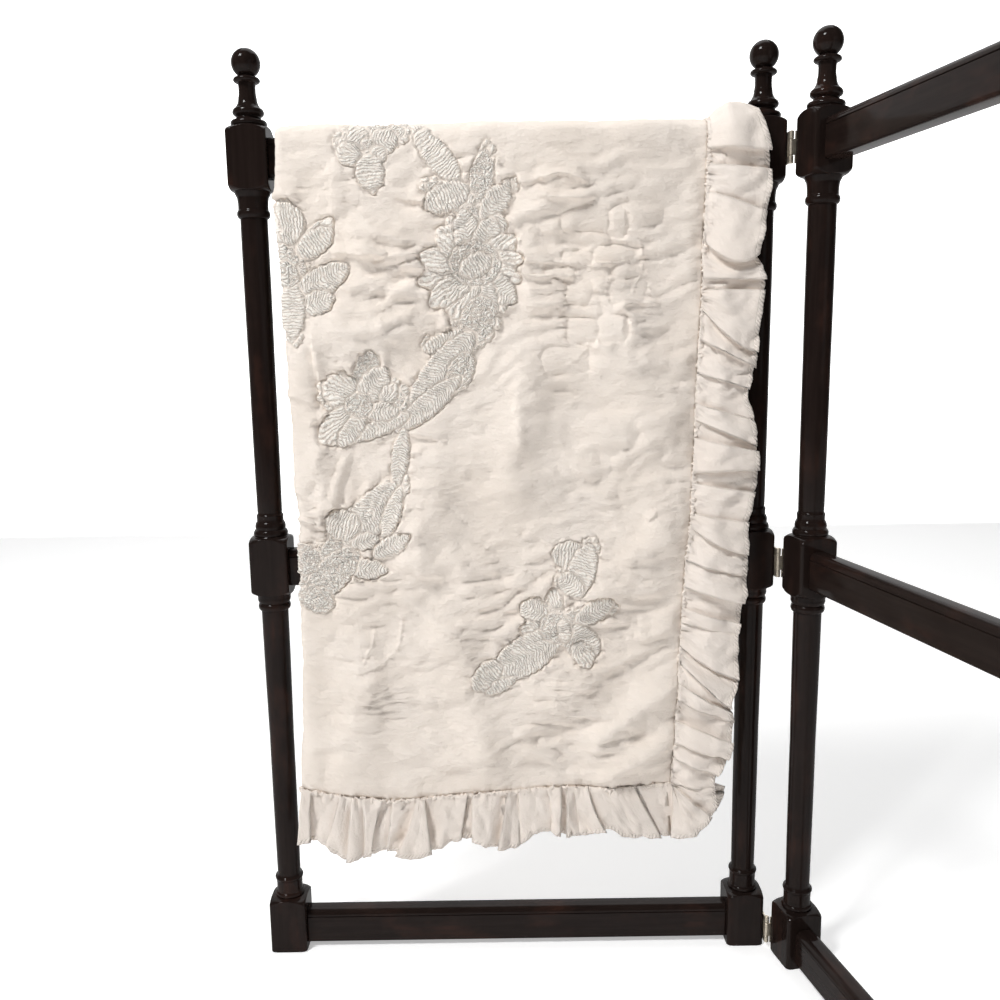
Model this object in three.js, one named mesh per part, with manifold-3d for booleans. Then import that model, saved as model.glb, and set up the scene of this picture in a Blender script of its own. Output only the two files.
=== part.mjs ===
// A baby coverlet hung on a folding quilt rack.
//
// The coverlet is an oblong of white quilted cotton with a gathered ruffle sewn all round. It is
// folded in half lengthwise, fold to the left, and hung over the top rail of the rack's main panel,
// so each drop has two layers. The rack has two panels of turned posts and plain rails. The second
// panel, the wing, is hinged to the right post of the first and stands towards the viewer.
//
// Millimetres, +Z up, floor at z = 0 while the parts are made. X runs along the main panel from left
// to right and Y away from the viewer. At the end the whole is moved so that the middle of its
// bounding box, at floor level, is the origin.

import * as THREE from "three";
import { mergeVertices } from "three/addons/utils/BufferGeometryUtils.js";
import Module from "manifold-3d";

const wasm = await Module();
wasm.setup();

// Driving sizes of the rack
const POST_HEIGHT = 914;
const POST_SPACING = 486;
const BLOCK_SIDE = 38;
const BLOCK_EDGE_RADIUS = 3;
const POST_SIDES = 12;
const RAIL_THICKNESS = 21;
const RAIL_HEIGHT = 37;
const RAIL_TOP_RADIUS = 7;
const RAIL_BOTTOM_RADIUS = 3;
const RAIL_CURVE_SEGMENTS = 4;
const RAIL_BASES = { top: 796, middle: 399.5, bottom: 5.5 };
const WING_ANGLE_FROM_STRAIGHT = 78.35;
const SEAT_GAP = 0.3;

// Driving sizes of the hinges
const HINGE_BASES = { top: 799, middle: 404, low: 6.5 };
const HINGE_LENGTH = 29;
const HINGE_LEAF_THICKNESS = 1.2;
const HINGE_LEAF_WIDTH = 17;
const HINGE_BARREL_RADIUS = 2.4;
const HINGE_PIN_RADIUS = 1.3;
const HINGE_BORE_RADIUS = 1.65;
const HINGE_PIN_TO_SIDE_FACE = 2.7;
const HINGE_PIN_TO_FRONT_FACE = 2.4;
const HINGE_OUTER_KNUCKLE_SHARE = 0.24;
const HINGE_ROD_SIDES = 16;

// Driving sizes of the coverlet
const BODY_THICKNESS = 3;
const RUFFLE_THICKNESS = 1.5;
const LAYER_STEP = 6;
const RAIL_TO_CLOTH = 2.5;
const BACK_SEAM_Z = 413;
const RUFFLE_WIDTH = 55;
const RUFFLE_SEAM_GAP = 0.4;
const RUFFLE_LIFT = 9;
const RUFFLE_TOP_LIFT = 4;
const RUFFLE_WAVE = 4.5;
const RUFFLE_WAVE_LENGTH = 33;
const ROOM_BESIDE_POST = 33;
const CROWDED_LENGTH = 60;
const BACK_CROWDING = 4;
const RISE_DONE_SHARE = 0.65;
const CORNER_WAVES = 0.75;
const LEFT_FLARE = 0.1;
const LEFT_FLARE_WIDTH = 32;
const SWAY = 3;
const SWAY_HEIGHT = 400;

// Turned outline of a post from the floor up: height and radius. The rows at radius 27.5 lie outside
// the square stock, so the blocks keep their flat faces and get rounded shoulders.
const POST_OUTLINE = [
  { z: 0, r: 23.5 },
  { z: 3.5, r: 27.5 },
  { z: 49, r: 27.5 },
  { z: 54.5, r: 24 },
  { z: 58.5, r: 18 },
  { z: 60, r: 14.4 },
  { z: 64, r: 13.6 },
  { z: 78, r: 13.7 },
  { z: 84, r: 11.9 },
  { z: 240, r: 12.4 },
  { z: 373, r: 13.4 },
  { z: 376, r: 15.5 },
  { z: 385, r: 15.9 },
  { z: 390, r: 17 },
  { z: 393.5, r: 22.5 },
  { z: 400, r: 27.5 },
  { z: 440, r: 27.5 },
  { z: 446.5, r: 22.5 },
  { z: 450, r: 16.8 },
  { z: 456, r: 15.8 },
  { z: 464, r: 13.8 },
  { z: 471, r: 13.4 },
  { z: 475, r: 12.2 },
  { z: 620, r: 12.7 },
  { z: 759, r: 12.9 },
  { z: 761.5, r: 14.9 },
  { z: 779, r: 15 },
  { z: 783.5, r: 17 },
  { z: 787.5, r: 22.5 },
  { z: 794, r: 27.5 },
  { z: 833, r: 27.5 },
  { z: 839.5, r: 22.5 },
  { z: 843.5, r: 16.5 },
  { z: 848.5, r: 16 },
  { z: 852.5, r: 11.5 },
  { z: 858, r: 14.5 },
  { z: 863, r: 10.5 },
  { z: 869, r: 8.5 },
  { z: 877, r: 7.9 },
  { z: 883, r: 8.4 },
  { z: 885.5, r: 12.1 },
  { z: 888.3, r: 9.2 },
];
const BALL_RADIUS = 13.5;
const BALL_START_ANGLE = -58;
const BALL_STEPS = 6;
const STOCK_CURVE_SEGMENTS = 2;

// The coverlet's left edge, where it is folded, and the seam between body and ruffle on the right.
const FOLD_EDGE = [
  { z: 845, x: -215 },
  { z: 770, x: -217.4 },
  { z: 700, x: -214.5 },
  { z: 600, x: -212.5 },
  { z: 500, x: -211.5 },
  { z: 467, x: -208 },
  { z: 440, x: -211 },
  { z: 330, x: -213 },
  { z: 250, x: -215 },
  { z: 180, x: -221.5 },
];
const SIDE_SEAM = [
  { z: 845, x: 188.4 },
  { z: 780, x: 187.3 },
  { z: 730, x: 184.6 },
  { z: 676, x: 184.6 },
  { z: 607, x: 181 },
  { z: 522, x: 178.5 },
  { z: 475, x: 177.3 },
  { z: 415, x: 172.3 },
  { z: 330, x: 168 },
  { z: 263, x: 164.3 },
  { z: 188, x: 161.2 },
];

// The seam and the ruffle's hem along the bottom of the front drop.
const BOTTOM_SEAM = [
  { x: -222, z: 188.5 },
  { x: -192, z: 182.3 },
  { x: -120, z: 173.4 },
  { x: -78, z: 177.2 },
  { x: -36, z: 181 },
  { x: 47, z: 186.3 },
  { x: 130, z: 186 },
  { x: 163, z: 188.8 },
];
const BOTTOM_HEM = [
  { x: -225, z: 131.5 },
  { x: -201, z: 133.8 },
  { x: -177, z: 114 },
  { x: -154, z: 117.4 },
  { x: -130, z: 123 },
  { x: -104, z: 116.5 },
  { x: -78, z: 124.6 },
  { x: -51, z: 136 },
  { x: -14, z: 121.3 },
  { x: 3, z: 124 },
  { x: 24, z: 141 },
  { x: 67, z: 134.5 },
  { x: 97, z: 145.4 },
  { x: 112, z: 134 },
  { x: 161, z: 133 },
];

// The hem on the right of the front drop, and how far it reaches round the lower right corner, by the
// angle from straight down.
const SIDE_HEM = [
  { z: 832, x: 236.5 },
  { z: 812, x: 242 },
  { z: 783, x: 244.3 },
  { z: 752, x: 240 },
  { z: 717, x: 232.5 },
  { z: 693, x: 241 },
  { z: 645, x: 235 },
  { z: 614, x: 234.5 },
  { z: 584, x: 226.5 },
  { z: 560, x: 234.5 },
  { z: 514, x: 239 },
  { z: 486, x: 235.3 },
  { z: 458, x: 229 },
  { z: 403, x: 231 },
  { z: 344, x: 223.2 },
  { z: 300, x: 223 },
  { z: 283, x: 213.5 },
  { z: 262, x: 220.7 },
  { z: 224, x: 216 },
  { z: 198, x: 203 },
];
const CORNER_HEM = [
  { angle: 0, reach: 56 },
  { angle: 22, reach: 56 },
  { angle: 45, reach: 51 },
  { angle: 67, reach: 49 },
  { angle: 83, reach: 43 },
];

// Soft folds of the hanging cloth: ridges along a line, with their half width and height.
const SOFT_FOLDS = [
  { x1: 166, z1: 292, x2: 85, z2: 232, width: 17, height: 6 },
  { x1: 162, z1: 238, x2: 95, z2: 196, width: 16, height: 5 },
  { x1: 150, z1: 455, x2: 60, z2: 372, width: 26, height: 5 },
  { x1: 18, z1: 600, x2: 2, z2: 500, width: 24, height: 6 },
  { x1: -62, z1: 350, x2: -24, z2: 215, width: 24, height: 5 },
  { x1: -150, z1: 310, x2: -168, z2: 205, width: 24, height: 5 },
  { x1: -190, z1: 640, x2: -110, z2: 655, width: 24, height: 5 },
  { x1: -128, z1: 735, x2: -62, z2: 716, width: 22, height: 5 },
  { x1: -70, z1: 520, x2: -95, z2: 430, width: 25, height: 5 },
  { x1: 95, z1: 690, x2: 140, z2: 545, width: 28, height: 5 },
  { x1: 40, z1: 770, x2: 120, z2: 752, width: 24, height: 4 },
  { x1: 70, z1: 300, x2: 10, z2: 262, width: 24, height: 5 },
];

// Grid of the coverlet's body
const LAYER_COLUMNS = 12;
const FOLD_COLUMNS = 4;
const FRONT_ROWS = 18;
const BEND_ROWS = 3;
const BACK_ROWS = 8;

// Stations of the ruffle between two grid points, and the columns across its width
const BOTTOM_STEPS = 3;
const BEND_STEPS = 2;
const FRONT_SIDE_STEPS = 4;
const BACK_SIDE_STEPS = 5;
const CORNER_STEPS = 4;
const RUFFLE_SHARES = [0, 0.5, 1];

const RAIL_TOP_Z = RAIL_BASES.top + RAIL_HEIGHT;
const BEND_CENTRE_Y = 5;
const INNER_LAYER_Y = RAIL_THICKNESS / 2 + RAIL_TO_CLOTH + BODY_THICKNESS / 2;
const INNER_BEND_RADIUS = INNER_LAYER_Y - BEND_CENTRE_Y;
const BEND_CENTRE_Z = RAIL_TOP_Z + SEAT_GAP + BODY_THICKNESS / 2 - INNER_BEND_RADIUS;

const darkWood = new THREE.MeshStandardMaterial({ color: 0x2b201c, roughness: 0.32, metalness: 0 });
const agedBrass = new THREE.MeshStandardMaterial({ color: 0xa8977c, roughness: 0.42, metalness: 0.9 });
const quiltedCotton = new THREE.MeshStandardMaterial({ color: 0xefe9df, roughness: 0.92, metalness: 0 });
const plainCotton = new THREE.MeshStandardMaterial({ color: 0xf2ece4, roughness: 0.88, metalness: 0 });

function degrees(angle) {
  return (angle * Math.PI) / 180;
}

function smoothStep(low, high, value) {
  const t = Math.min(Math.max((value - low) / (high - low), 0), 1);
  return t * t * (3 - 2 * t);
}

// Reads a table as straight stretches between its rows, level past its ends.
function readTable(rows, from, to, value) {
  const sorted = [...rows].sort((a, b) => a[from] - b[from]);
  if (value <= sorted[0][from]) {
    return sorted[0][to];
  }
  for (let k = 1; k < sorted.length; k += 1) {
    if (value <= sorted[k][from]) {
      const share = (value - sorted[k - 1][from]) / (sorted[k][from] - sorted[k - 1][from]);
      return sorted[k - 1][to] + share * (sorted[k][to] - sorted[k - 1][to]);
    }
  }
  return sorted[sorted.length - 1][to];
}

function toSolid(geometry) {
  const bare = geometry.clone();
  bare.deleteAttribute("normal");
  bare.deleteAttribute("uv");
  const merged = mergeVertices(bare);
  const mesh = new wasm.Mesh({
    numProp: 3,
    vertProperties: new Float32Array(merged.attributes.position.array),
    triVerts: new Uint32Array(merged.index.array),
  });
  return new wasm.Manifold(mesh);
}

function toGeometry(solid) {
  const mesh = solid.getMesh();
  const geometry = new THREE.BufferGeometry();
  geometry.setAttribute("position", new THREE.BufferAttribute(new Float32Array(mesh.vertProperties), 3));
  geometry.setIndex(new THREE.BufferAttribute(new Uint32Array(mesh.triVerts), 1));
  geometry.computeVertexNormals();
  return geometry;
}

function namedMesh(name, geometry, material) {
  const mesh = new THREE.Mesh(geometry, material);
  mesh.name = name;
  return mesh;
}

// A rectangle centred on x, standing on y = 0, with one corner radius below and one above.
function railSection(width, height, lowRadius, highRadius) {
  const half = width / 2;
  const outline = new THREE.Shape();
  outline.moveTo(-half + lowRadius, 0);
  outline.lineTo(half - lowRadius, 0);
  outline.absarc(half - lowRadius, lowRadius, lowRadius, -Math.PI / 2, 0, false);
  outline.lineTo(half, height - highRadius);
  outline.absarc(half - highRadius, height - highRadius, highRadius, 0, Math.PI / 2, false);
  outline.lineTo(-half + highRadius, height);
  outline.absarc(-half + highRadius, height - highRadius, highRadius, Math.PI / 2, Math.PI, false);
  outline.lineTo(-half, lowRadius);
  outline.absarc(-half + lowRadius, lowRadius, lowRadius, Math.PI, 1.5 * Math.PI, false);
  return outline;
}

// A post: square stock with softened edges, turned to the outline between its three blocks.
function postGeometry() {
  const squareSection = railSection(BLOCK_SIDE, BLOCK_SIDE, BLOCK_EDGE_RADIUS, BLOCK_EDGE_RADIUS);
  const stock = new THREE.ExtrudeGeometry(squareSection, {
    depth: POST_HEIGHT,
    bevelEnabled: false,
    curveSegments: STOCK_CURVE_SEGMENTS,
  });
  stock.translate(0, -BLOCK_SIDE / 2, 0);

  const points = [new THREE.Vector2(0, POST_OUTLINE[0].z)];
  for (const row of POST_OUTLINE) {
    points.push(new THREE.Vector2(row.r, row.z));
  }
  const ballZ = POST_HEIGHT - BALL_RADIUS;
  const ballStart = degrees(BALL_START_ANGLE);
  for (let k = 0; k <= BALL_STEPS; k += 1) {
    const angle = ballStart + (k / BALL_STEPS) * (Math.PI / 2 - ballStart);
    const radius = k === BALL_STEPS ? 0 : BALL_RADIUS * Math.cos(angle);
    points.push(new THREE.Vector2(radius, ballZ + BALL_RADIUS * Math.sin(angle)));
  }
  const turning = new THREE.LatheGeometry(points, POST_SIDES);
  turning.rotateX(Math.PI / 2);
  return toGeometry(toSolid(stock).intersect(toSolid(turning)));
}

// A rail along +X from one post's block to the next one's.
function railGeometry() {
  const section = railSection(RAIL_THICKNESS, RAIL_HEIGHT, RAIL_BOTTOM_RADIUS, RAIL_TOP_RADIUS);
  const rail = new THREE.ExtrudeGeometry(section, {
    depth: POST_SPACING - BLOCK_SIDE - 2 * SEAT_GAP,
    bevelEnabled: false,
    curveSegments: RAIL_CURVE_SEGMENTS,
  });
  const yAxis = new THREE.Vector3(0, 1, 0);
  const zAxis = new THREE.Vector3(0, 0, 1);
  const xAxis = new THREE.Vector3(1, 0, 0);
  rail.applyMatrix4(new THREE.Matrix4().makeBasis(yAxis, zAxis, xAxis));
  return rail;
}

// One panel: a post at each end and three rails. Its first post stands at the group's own origin.
function panelGroup(nearName, farName, railPrefix) {
  const panel = new THREE.Group();
  panel.add(namedMesh(nearName, postGeometry(), darkWood));
  const farPost = namedMesh(farName, postGeometry(), darkWood);
  farPost.position.x = POST_SPACING;
  panel.add(farPost);
  for (const [place, base] of Object.entries(RAIL_BASES)) {
    const rail = namedMesh(`${railPrefix}_${place}`, railGeometry(), darkWood);
    rail.position.set(BLOCK_SIDE / 2 + SEAT_GAP, 0, base);
    panel.add(rail);
  }
  return panel;
}

function uprightRod(radius, height, base) {
  const rod = new THREE.CylinderGeometry(radius, radius, height, HINGE_ROD_SIDES);
  rod.rotateX(Math.PI / 2);
  rod.translate(0, 0, base + height / 2);
  return toSolid(rod);
}

function uprightPlate(x, y, width, depth, base, height) {
  const plate = new THREE.BoxGeometry(width, depth, height);
  plate.translate(x + width / 2, y + depth / 2, base + height / 2);
  return toSolid(plate);
}

// A hinge leaf with the pin on its own z axis. The leaf runs back along +Y, flat against a post's side
// face. The stand's leaf lies at -X of the pin and has the end knuckles and the pin itself. The wing's
// leaf lies at +X and has the middle knuckle, with a bore that clears the pin.
function hingeLeafGeometry(isStandLeaf) {
  const endKnuckle = HINGE_LENGTH * HINGE_OUTER_KNUCKLE_SHARE;
  const middleBase = endKnuckle + SEAT_GAP;
  const middleLength = HINGE_LENGTH - 2 * middleBase;
  const seat = HINGE_PIN_TO_SIDE_FACE - SEAT_GAP;
  const leafX = isStandLeaf ? -seat : seat - HINGE_LEAF_THICKNESS;
  const plateY = HINGE_BARREL_RADIUS + 2 * SEAT_GAP;
  let leaf = uprightPlate(leafX, plateY, HINGE_LEAF_THICKNESS, HINGE_LEAF_WIDTH - plateY, 0, HINGE_LENGTH);
  const middleKnuckles = [{ base: middleBase, length: middleLength }];
  const endKnuckles = [
    { base: 0, length: endKnuckle },
    { base: HINGE_LENGTH - endKnuckle, length: endKnuckle },
  ];
  const knuckles = isStandLeaf ? endKnuckles : middleKnuckles;
  for (const { base, length } of knuckles) {
    leaf = leaf.add(uprightRod(HINGE_BARREL_RADIUS, length, base));
    leaf = leaf.add(uprightPlate(leafX, 0, HINGE_LEAF_THICKNESS, HINGE_LEAF_WIDTH / 2, base, length));
  }
  if (isStandLeaf) {
    leaf = leaf.add(uprightRod(HINGE_PIN_RADIUS, HINGE_LENGTH, 0));
  } else {
    leaf = leaf.subtract(uprightRod(HINGE_BORE_RADIUS, HINGE_LENGTH + 2, -1));
  }
  return toGeometry(leaf);
}

// The line that the cloth follows over the rail: up the front drop, over, and down the back drop. Each
// row of the grid has its place on it, as a share of the drop's height or as an angle round a bend.
function coverletRows() {
  const rows = [];
  for (let k = 0; k < FRONT_ROWS; k += 1) {
    rows.push({ side: -1, share: k / FRONT_ROWS, angle: 0 });
  }
  for (let k = 0; k <= BEND_ROWS; k += 1) {
    rows.push({ side: -1, share: 1, angle: (k / BEND_ROWS) * (Math.PI / 2) });
  }
  for (let k = BEND_ROWS; k >= 0; k -= 1) {
    rows.push({ side: 1, share: 1, angle: (k / BEND_ROWS) * (Math.PI / 2) });
  }
  for (let k = BACK_ROWS - 1; k >= 0; k -= 1) {
    rows.push({ side: 1, share: k / BACK_ROWS, angle: 0 });
  }
  return rows;
}

function outwardNormal(row) {
  return new THREE.Vector3(0, row.side * Math.cos(row.angle), Math.sin(row.angle));
}

function softFoldHeight(x, z) {
  let height = 0;
  for (const fold of SOFT_FOLDS) {
    const alongX = fold.x2 - fold.x1;
    const alongZ = fold.z2 - fold.z1;
    const length = Math.hypot(alongX, alongZ);
    const share = ((x - fold.x1) * alongX + (z - fold.z1) * alongZ) / (length * length);
    const t = Math.min(Math.max(share, 0), 1);
    const away = Math.hypot(x - fold.x1 - t * alongX, z - fold.z1 - t * alongZ);
    height += fold.height * Math.exp(-((away / fold.width) ** 2));
  }
  return height;
}

// A point of the body's middle surface. Offset is the layer's distance outside the inner layer.
function layerPoint(row, x, offset) {
  const radius = INNER_BEND_RADIUS + offset;
  const seamZ = row.side < 0 ? readTable(BOTTOM_SEAM, "x", "z", x) : BACK_SEAM_Z;
  const dropZ = seamZ + row.share * (BEND_CENTRE_Z - seamZ);
  const onDrop = row.share < 1;
  const hang = onDrop ? SWAY * smoothStep(BEND_CENTRE_Z, BEND_CENTRE_Z - SWAY_HEIGHT, dropZ) : 0;
  const relief = row.side < 0 && onDrop ? softFoldHeight(x, dropZ) : 0;
  const point = new THREE.Vector3(x, row.side * BEND_CENTRE_Y, dropZ);
  return point.addScaledVector(outwardNormal(row), radius + hang + relief);
}

function rowHeight(row) {
  const lowZ = row.side < 0 ? readTable(BOTTOM_SEAM, "x", "z", 0) : BACK_SEAM_Z;
  return lowZ + row.share * (BEND_CENTRE_Z - lowZ);
}

// The body's grid: rows along the drops, columns from the outer layer's right seam round the fold to
// the inner layer's right seam.
function bodyGrid() {
  const foldRadius = LAYER_STEP / 2;
  return coverletRows().map((row) => {
    const z = rowHeight(row);
    const seamX = readTable(SIDE_SEAM, "z", "x", z);
    const foldX = readTable(FOLD_EDGE, "z", "x", z) + BODY_THICKNESS / 2;
    const flatX = foldX + foldRadius;
    const points = [];
    for (let k = 0; k <= LAYER_COLUMNS; k += 1) {
      const x = seamX + (k / LAYER_COLUMNS) * (flatX - seamX);
      points.push(layerPoint(row, x, LAYER_STEP));
    }
    for (let k = 1; k < FOLD_COLUMNS; k += 1) {
      const turn = (k / FOLD_COLUMNS) * Math.PI;
      const x = flatX - foldRadius * Math.sin(turn);
      points.push(layerPoint(row, x, foldRadius + foldRadius * Math.cos(turn)));
    }
    for (let k = LAYER_COLUMNS; k >= 0; k -= 1) {
      const x = seamX + (k / LAYER_COLUMNS) * (flatX - seamX);
      points.push(layerPoint(row, x, 0));
    }
    return { row, points };
  });
}

// One closed sheet from a grid of middle-surface points. A ring closes its last row onto its first.
// Where a row has an edge normal, its first point is thickened along that.
function sheetGeometry(grid, thickness, isRing, edgeNormals = []) {
  const rowCount = grid.length;
  const columnCount = grid[0].length;
  const within = (value, count) => Math.min(Math.max(value, 0), count - 1);
  const wrapped = (value, count) => (value + count) % count;
  const at = (i, j) => grid[isRing ? wrapped(i, rowCount) : within(i, rowCount)][within(j, columnCount)];
  const positions = [];
  const alongRow = new THREE.Vector3();
  const alongColumn = new THREE.Vector3();
  for (const side of [0.5, -0.5]) {
    for (let i = 0; i < rowCount; i += 1) {
      for (let j = 0; j < columnCount; j += 1) {
        alongRow.subVectors(at(i + 1, j), at(i - 1, j));
        alongColumn.subVectors(at(i, j + 1), at(i, j - 1));
        const edgeNormal = j === 0 ? edgeNormals[i] : undefined;
        const normal = edgeNormal ?? new THREE.Vector3().crossVectors(alongRow, alongColumn).normalize();
        const point = at(i, j).clone().addScaledVector(normal, side * thickness);
        positions.push(point.x, point.y, point.z);
      }
    }
  }
  const index = [];
  const quad = (a, b, c, d) => index.push(a, b, c, a, c, d);
  const upper = (i, j) => (i % rowCount) * columnCount + j;
  const lower = (i, j) => rowCount * columnCount + upper(i, j);
  const lastRow = isRing ? rowCount : rowCount - 1;
  for (let i = 0; i < lastRow; i += 1) {
    for (let j = 0; j < columnCount - 1; j += 1) {
      quad(upper(i, j), upper(i + 1, j), upper(i + 1, j + 1), upper(i, j + 1));
      quad(lower(i, j), lower(i, j + 1), lower(i + 1, j + 1), lower(i + 1, j));
    }
    quad(upper(i, 0), lower(i, 0), lower(i + 1, 0), upper(i + 1, 0));
    const j = columnCount - 1;
    quad(upper(i, j), upper(i + 1, j), lower(i + 1, j), lower(i, j));
  }
  if (!isRing) {
    for (let j = 0; j < columnCount - 1; j += 1) {
      const i = rowCount - 1;
      quad(upper(0, j), upper(0, j + 1), lower(0, j + 1), lower(0, j));
      quad(upper(i, j), lower(i, j), lower(i, j + 1), upper(i, j + 1));
    }
  }
  const geometry = new THREE.BufferGeometry();
  geometry.setAttribute("position", new THREE.BufferAttribute(new Float32Array(positions), 3));
  geometry.setIndex(index);
  geometry.computeVertexNormals();
  return geometry;
}

// How far the ruffle reaches from the seam on the right edge. Beside the post's top block it is
// crowded, so it narrows there, the inner layer's sooner because it lies closer to the post.
function sideReach(point, isFront, bendAngle, isOuter) {
  const full = isFront ? readTable(SIDE_HEM, "z", "x", point.z) - point.x : RUFFLE_WIDTH - BACK_CROWDING;
  let open = Math.cos(bendAngle);
  if (!isOuter) {
    open = smoothStep(BEND_CENTRE_Z, BEND_CENTRE_Z - CROWDED_LENGTH, point.z);
  }
  return ROOM_BESIDE_POST + (full - ROOM_BESIDE_POST) * open;
}

// One section of the ruffle, from the seam to the hem. It leaves the seam along the cloth, rises to
// clear the post, and waves more the nearer it is to the hem.
function ruffleSection(station) {
  return RUFFLE_SHARES.map((share) => {
    const rise = station.lift * smoothStep(0, RISE_DONE_SHARE, share);
    const wave = RUFFLE_WAVE * share * (1 + Math.sin(station.phase));
    const reach = RUFFLE_SEAM_GAP + share * (station.reach - RUFFLE_SEAM_GAP);
    const point = station.point.clone().addScaledVector(station.along, reach);
    return point.addScaledVector(station.outward, rise + wave);
  });
}

function wavePhase(distance) {
  return (distance / RUFFLE_WAVE_LENGTH) * 2 * Math.PI;
}

// A station on the bottom of a drop, between one column and the next.
function bottomStation(line, column, nextColumn, share) {
  const point = line.points[column].clone().lerp(line.points[nextColumn], share);
  const isFront = line.row.side < 0;
  const foldX = FOLD_EDGE[FOLD_EDGE.length - 1].x;
  const flare = isFront ? LEFT_FLARE * smoothStep(foldX + LEFT_FLARE_WIDTH, foldX, point.x) : 0;
  return {
    point,
    along: new THREE.Vector3(-flare, 0, -1),
    outward: outwardNormal(line.row),
    reach: isFront ? point.z - readTable(BOTTOM_HEM, "x", "z", point.x) : RUFFLE_WIDTH,
    phase: wavePhase(point.x),
    lift: RUFFLE_LIFT / 2,
  };
}

// A station at a lower right corner, where the ruffle fans round from straight down to sideways.
function cornerStation(line, column, turned) {
  const angle = turned * 90;
  return {
    point: line.points[column].clone(),
    along: new THREE.Vector3(Math.sin(degrees(angle)), 0, -Math.cos(degrees(angle))),
    outward: outwardNormal(line.row),
    reach: line.row.side < 0 ? readTable(CORNER_HEM, "angle", "reach", angle) : RUFFLE_WIDTH,
    phase: wavePhase(line.points[column].x) + turned * CORNER_WAVES * 2 * Math.PI,
    lift: (RUFFLE_LIFT / 2) * (1 + turned),
  };
}

// A station on the right edge, between one row and the next.
function sideStation(line, nextLine, column, share) {
  const point = line.points[column].clone().lerp(nextLine.points[column], share);
  const outward = outwardNormal(line.row).lerp(outwardNormal(nextLine.row), share).normalize();
  const bendAngle = Math.asin(Math.min(outward.z, 1));
  const isOuter = column === 0;
  return {
    point,
    along: new THREE.Vector3(1, 0, 0),
    outward,
    reach: sideReach(point, line.row.side < 0, bendAngle, isOuter),
    phase: wavePhase(point.z) * Math.cos(bendAngle),
    lift: RUFFLE_LIFT + RUFFLE_TOP_LIFT * Math.sin(bendAngle),
    seamNormal: outward.clone().multiplyScalar(isOuter ? 1 : -1),
  };
}

// The ruffle's stations, once round the body's edge: the bottom of the front drop, the inner layer's
// right edge over the rail, the bottom of the back drop, and the outer layer's right edge back again.
function ruffleStations(grid) {
  const lastRow = grid.length - 1;
  const lastColumn = grid[0].points.length - 1;
  const stations = [];
  const bottomEdge = (line, from, to) => {
    const step = Math.sign(to - from);
    for (let column = from; column !== to; column += step) {
      const middle = column + step / 2;
      const inFold = middle > LAYER_COLUMNS && middle < LAYER_COLUMNS + FOLD_COLUMNS;
      const steps = inFold ? 1 : BOTTOM_STEPS;
      for (let k = 0; k < steps; k += 1) {
        stations.push(bottomStation(line, column, column + step, k / steps));
      }
    }
    stations.push(bottomStation(line, to, to, 0));
  };
  const corner = (line, column, toSide) => {
    for (let k = 1; k < CORNER_STEPS; k += 1) {
      const turned = (toSide ? k : CORNER_STEPS - k) / CORNER_STEPS;
      stations.push(cornerStation(line, column, turned));
    }
  };
  const sideEdge = (column, from, to) => {
    const step = Math.sign(to - from);
    for (let rowIndex = from; rowIndex !== to; rowIndex += step) {
      const line = grid[rowIndex];
      const nextLine = grid[rowIndex + step];
      const onBend = line.row.share >= 1 && nextLine.row.share >= 1;
      const dropSteps = line.row.side < 0 ? FRONT_SIDE_STEPS : BACK_SIDE_STEPS;
      const steps = onBend ? BEND_STEPS : dropSteps;
      for (let k = 0; k < steps; k += 1) {
        stations.push(sideStation(line, nextLine, column, k / steps));
      }
    }
    stations.push(sideStation(grid[to], grid[to], column, 0));
  };
  bottomEdge(grid[0], 0, lastColumn);
  corner(grid[0], lastColumn, true);
  sideEdge(lastColumn, 0, lastRow);
  corner(grid[lastRow], lastColumn, false);
  bottomEdge(grid[lastRow], lastColumn, 0);
  corner(grid[lastRow], 0, true);
  sideEdge(0, lastRow, 0);
  corner(grid[0], 0, false);
  return stations;
}

// The main panel stands along X with its middle at x = 0.
const stand = panelGroup("post_left", "post_right", "rail");
stand.position.x = -POST_SPACING / 2;

// The hinge pins stand just off the front inner corner of the right post. The wing turns about them.
const pinX = POST_SPACING / 2 + BLOCK_SIDE / 2 + HINGE_PIN_TO_SIDE_FACE;
const pinY = -BLOCK_SIDE / 2 - HINGE_PIN_TO_FRONT_FACE;
const wing = panelGroup("wing_post_near", "wing_post_far", "wing_rail");
wing.position.set(BLOCK_SIDE / 2 + HINGE_PIN_TO_SIDE_FACE, BLOCK_SIDE / 2 + HINGE_PIN_TO_FRONT_FACE, 0);
const wingPivot = new THREE.Group();
wingPivot.position.set(pinX, pinY, 0);
wingPivot.rotation.z = -degrees(WING_ANGLE_FROM_STRAIGHT);
wingPivot.add(wing);

const standLeaves = new THREE.Group();
standLeaves.position.set(pinX, pinY, 0);
for (const [place, base] of Object.entries(HINGE_BASES)) {
  const standLeaf = namedMesh(`hinge_${place}_stand_leaf`, hingeLeafGeometry(true), agedBrass);
  standLeaf.position.z = base;
  standLeaves.add(standLeaf);
  const wingLeaf = namedMesh(`hinge_${place}_wing_leaf`, hingeLeafGeometry(false), agedBrass);
  wingLeaf.position.z = base;
  wingPivot.add(wingLeaf);
}

const coverlet = new THREE.Group();
const coverletGrid = bodyGrid();
const bodySheet = sheetGeometry(coverletGrid.map((line) => line.points), BODY_THICKNESS, false);
coverlet.add(namedMesh("coverlet_body", bodySheet, quiltedCotton));
const stations = ruffleStations(coverletGrid);
const seamNormals = stations.map((station) => station.seamNormal);
const ruffleSheet = sheetGeometry(stations.map(ruffleSection), RUFFLE_THICKNESS, true, seamNormals);
coverlet.add(namedMesh("coverlet_ruffle", ruffleSheet, plainCotton));

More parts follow.
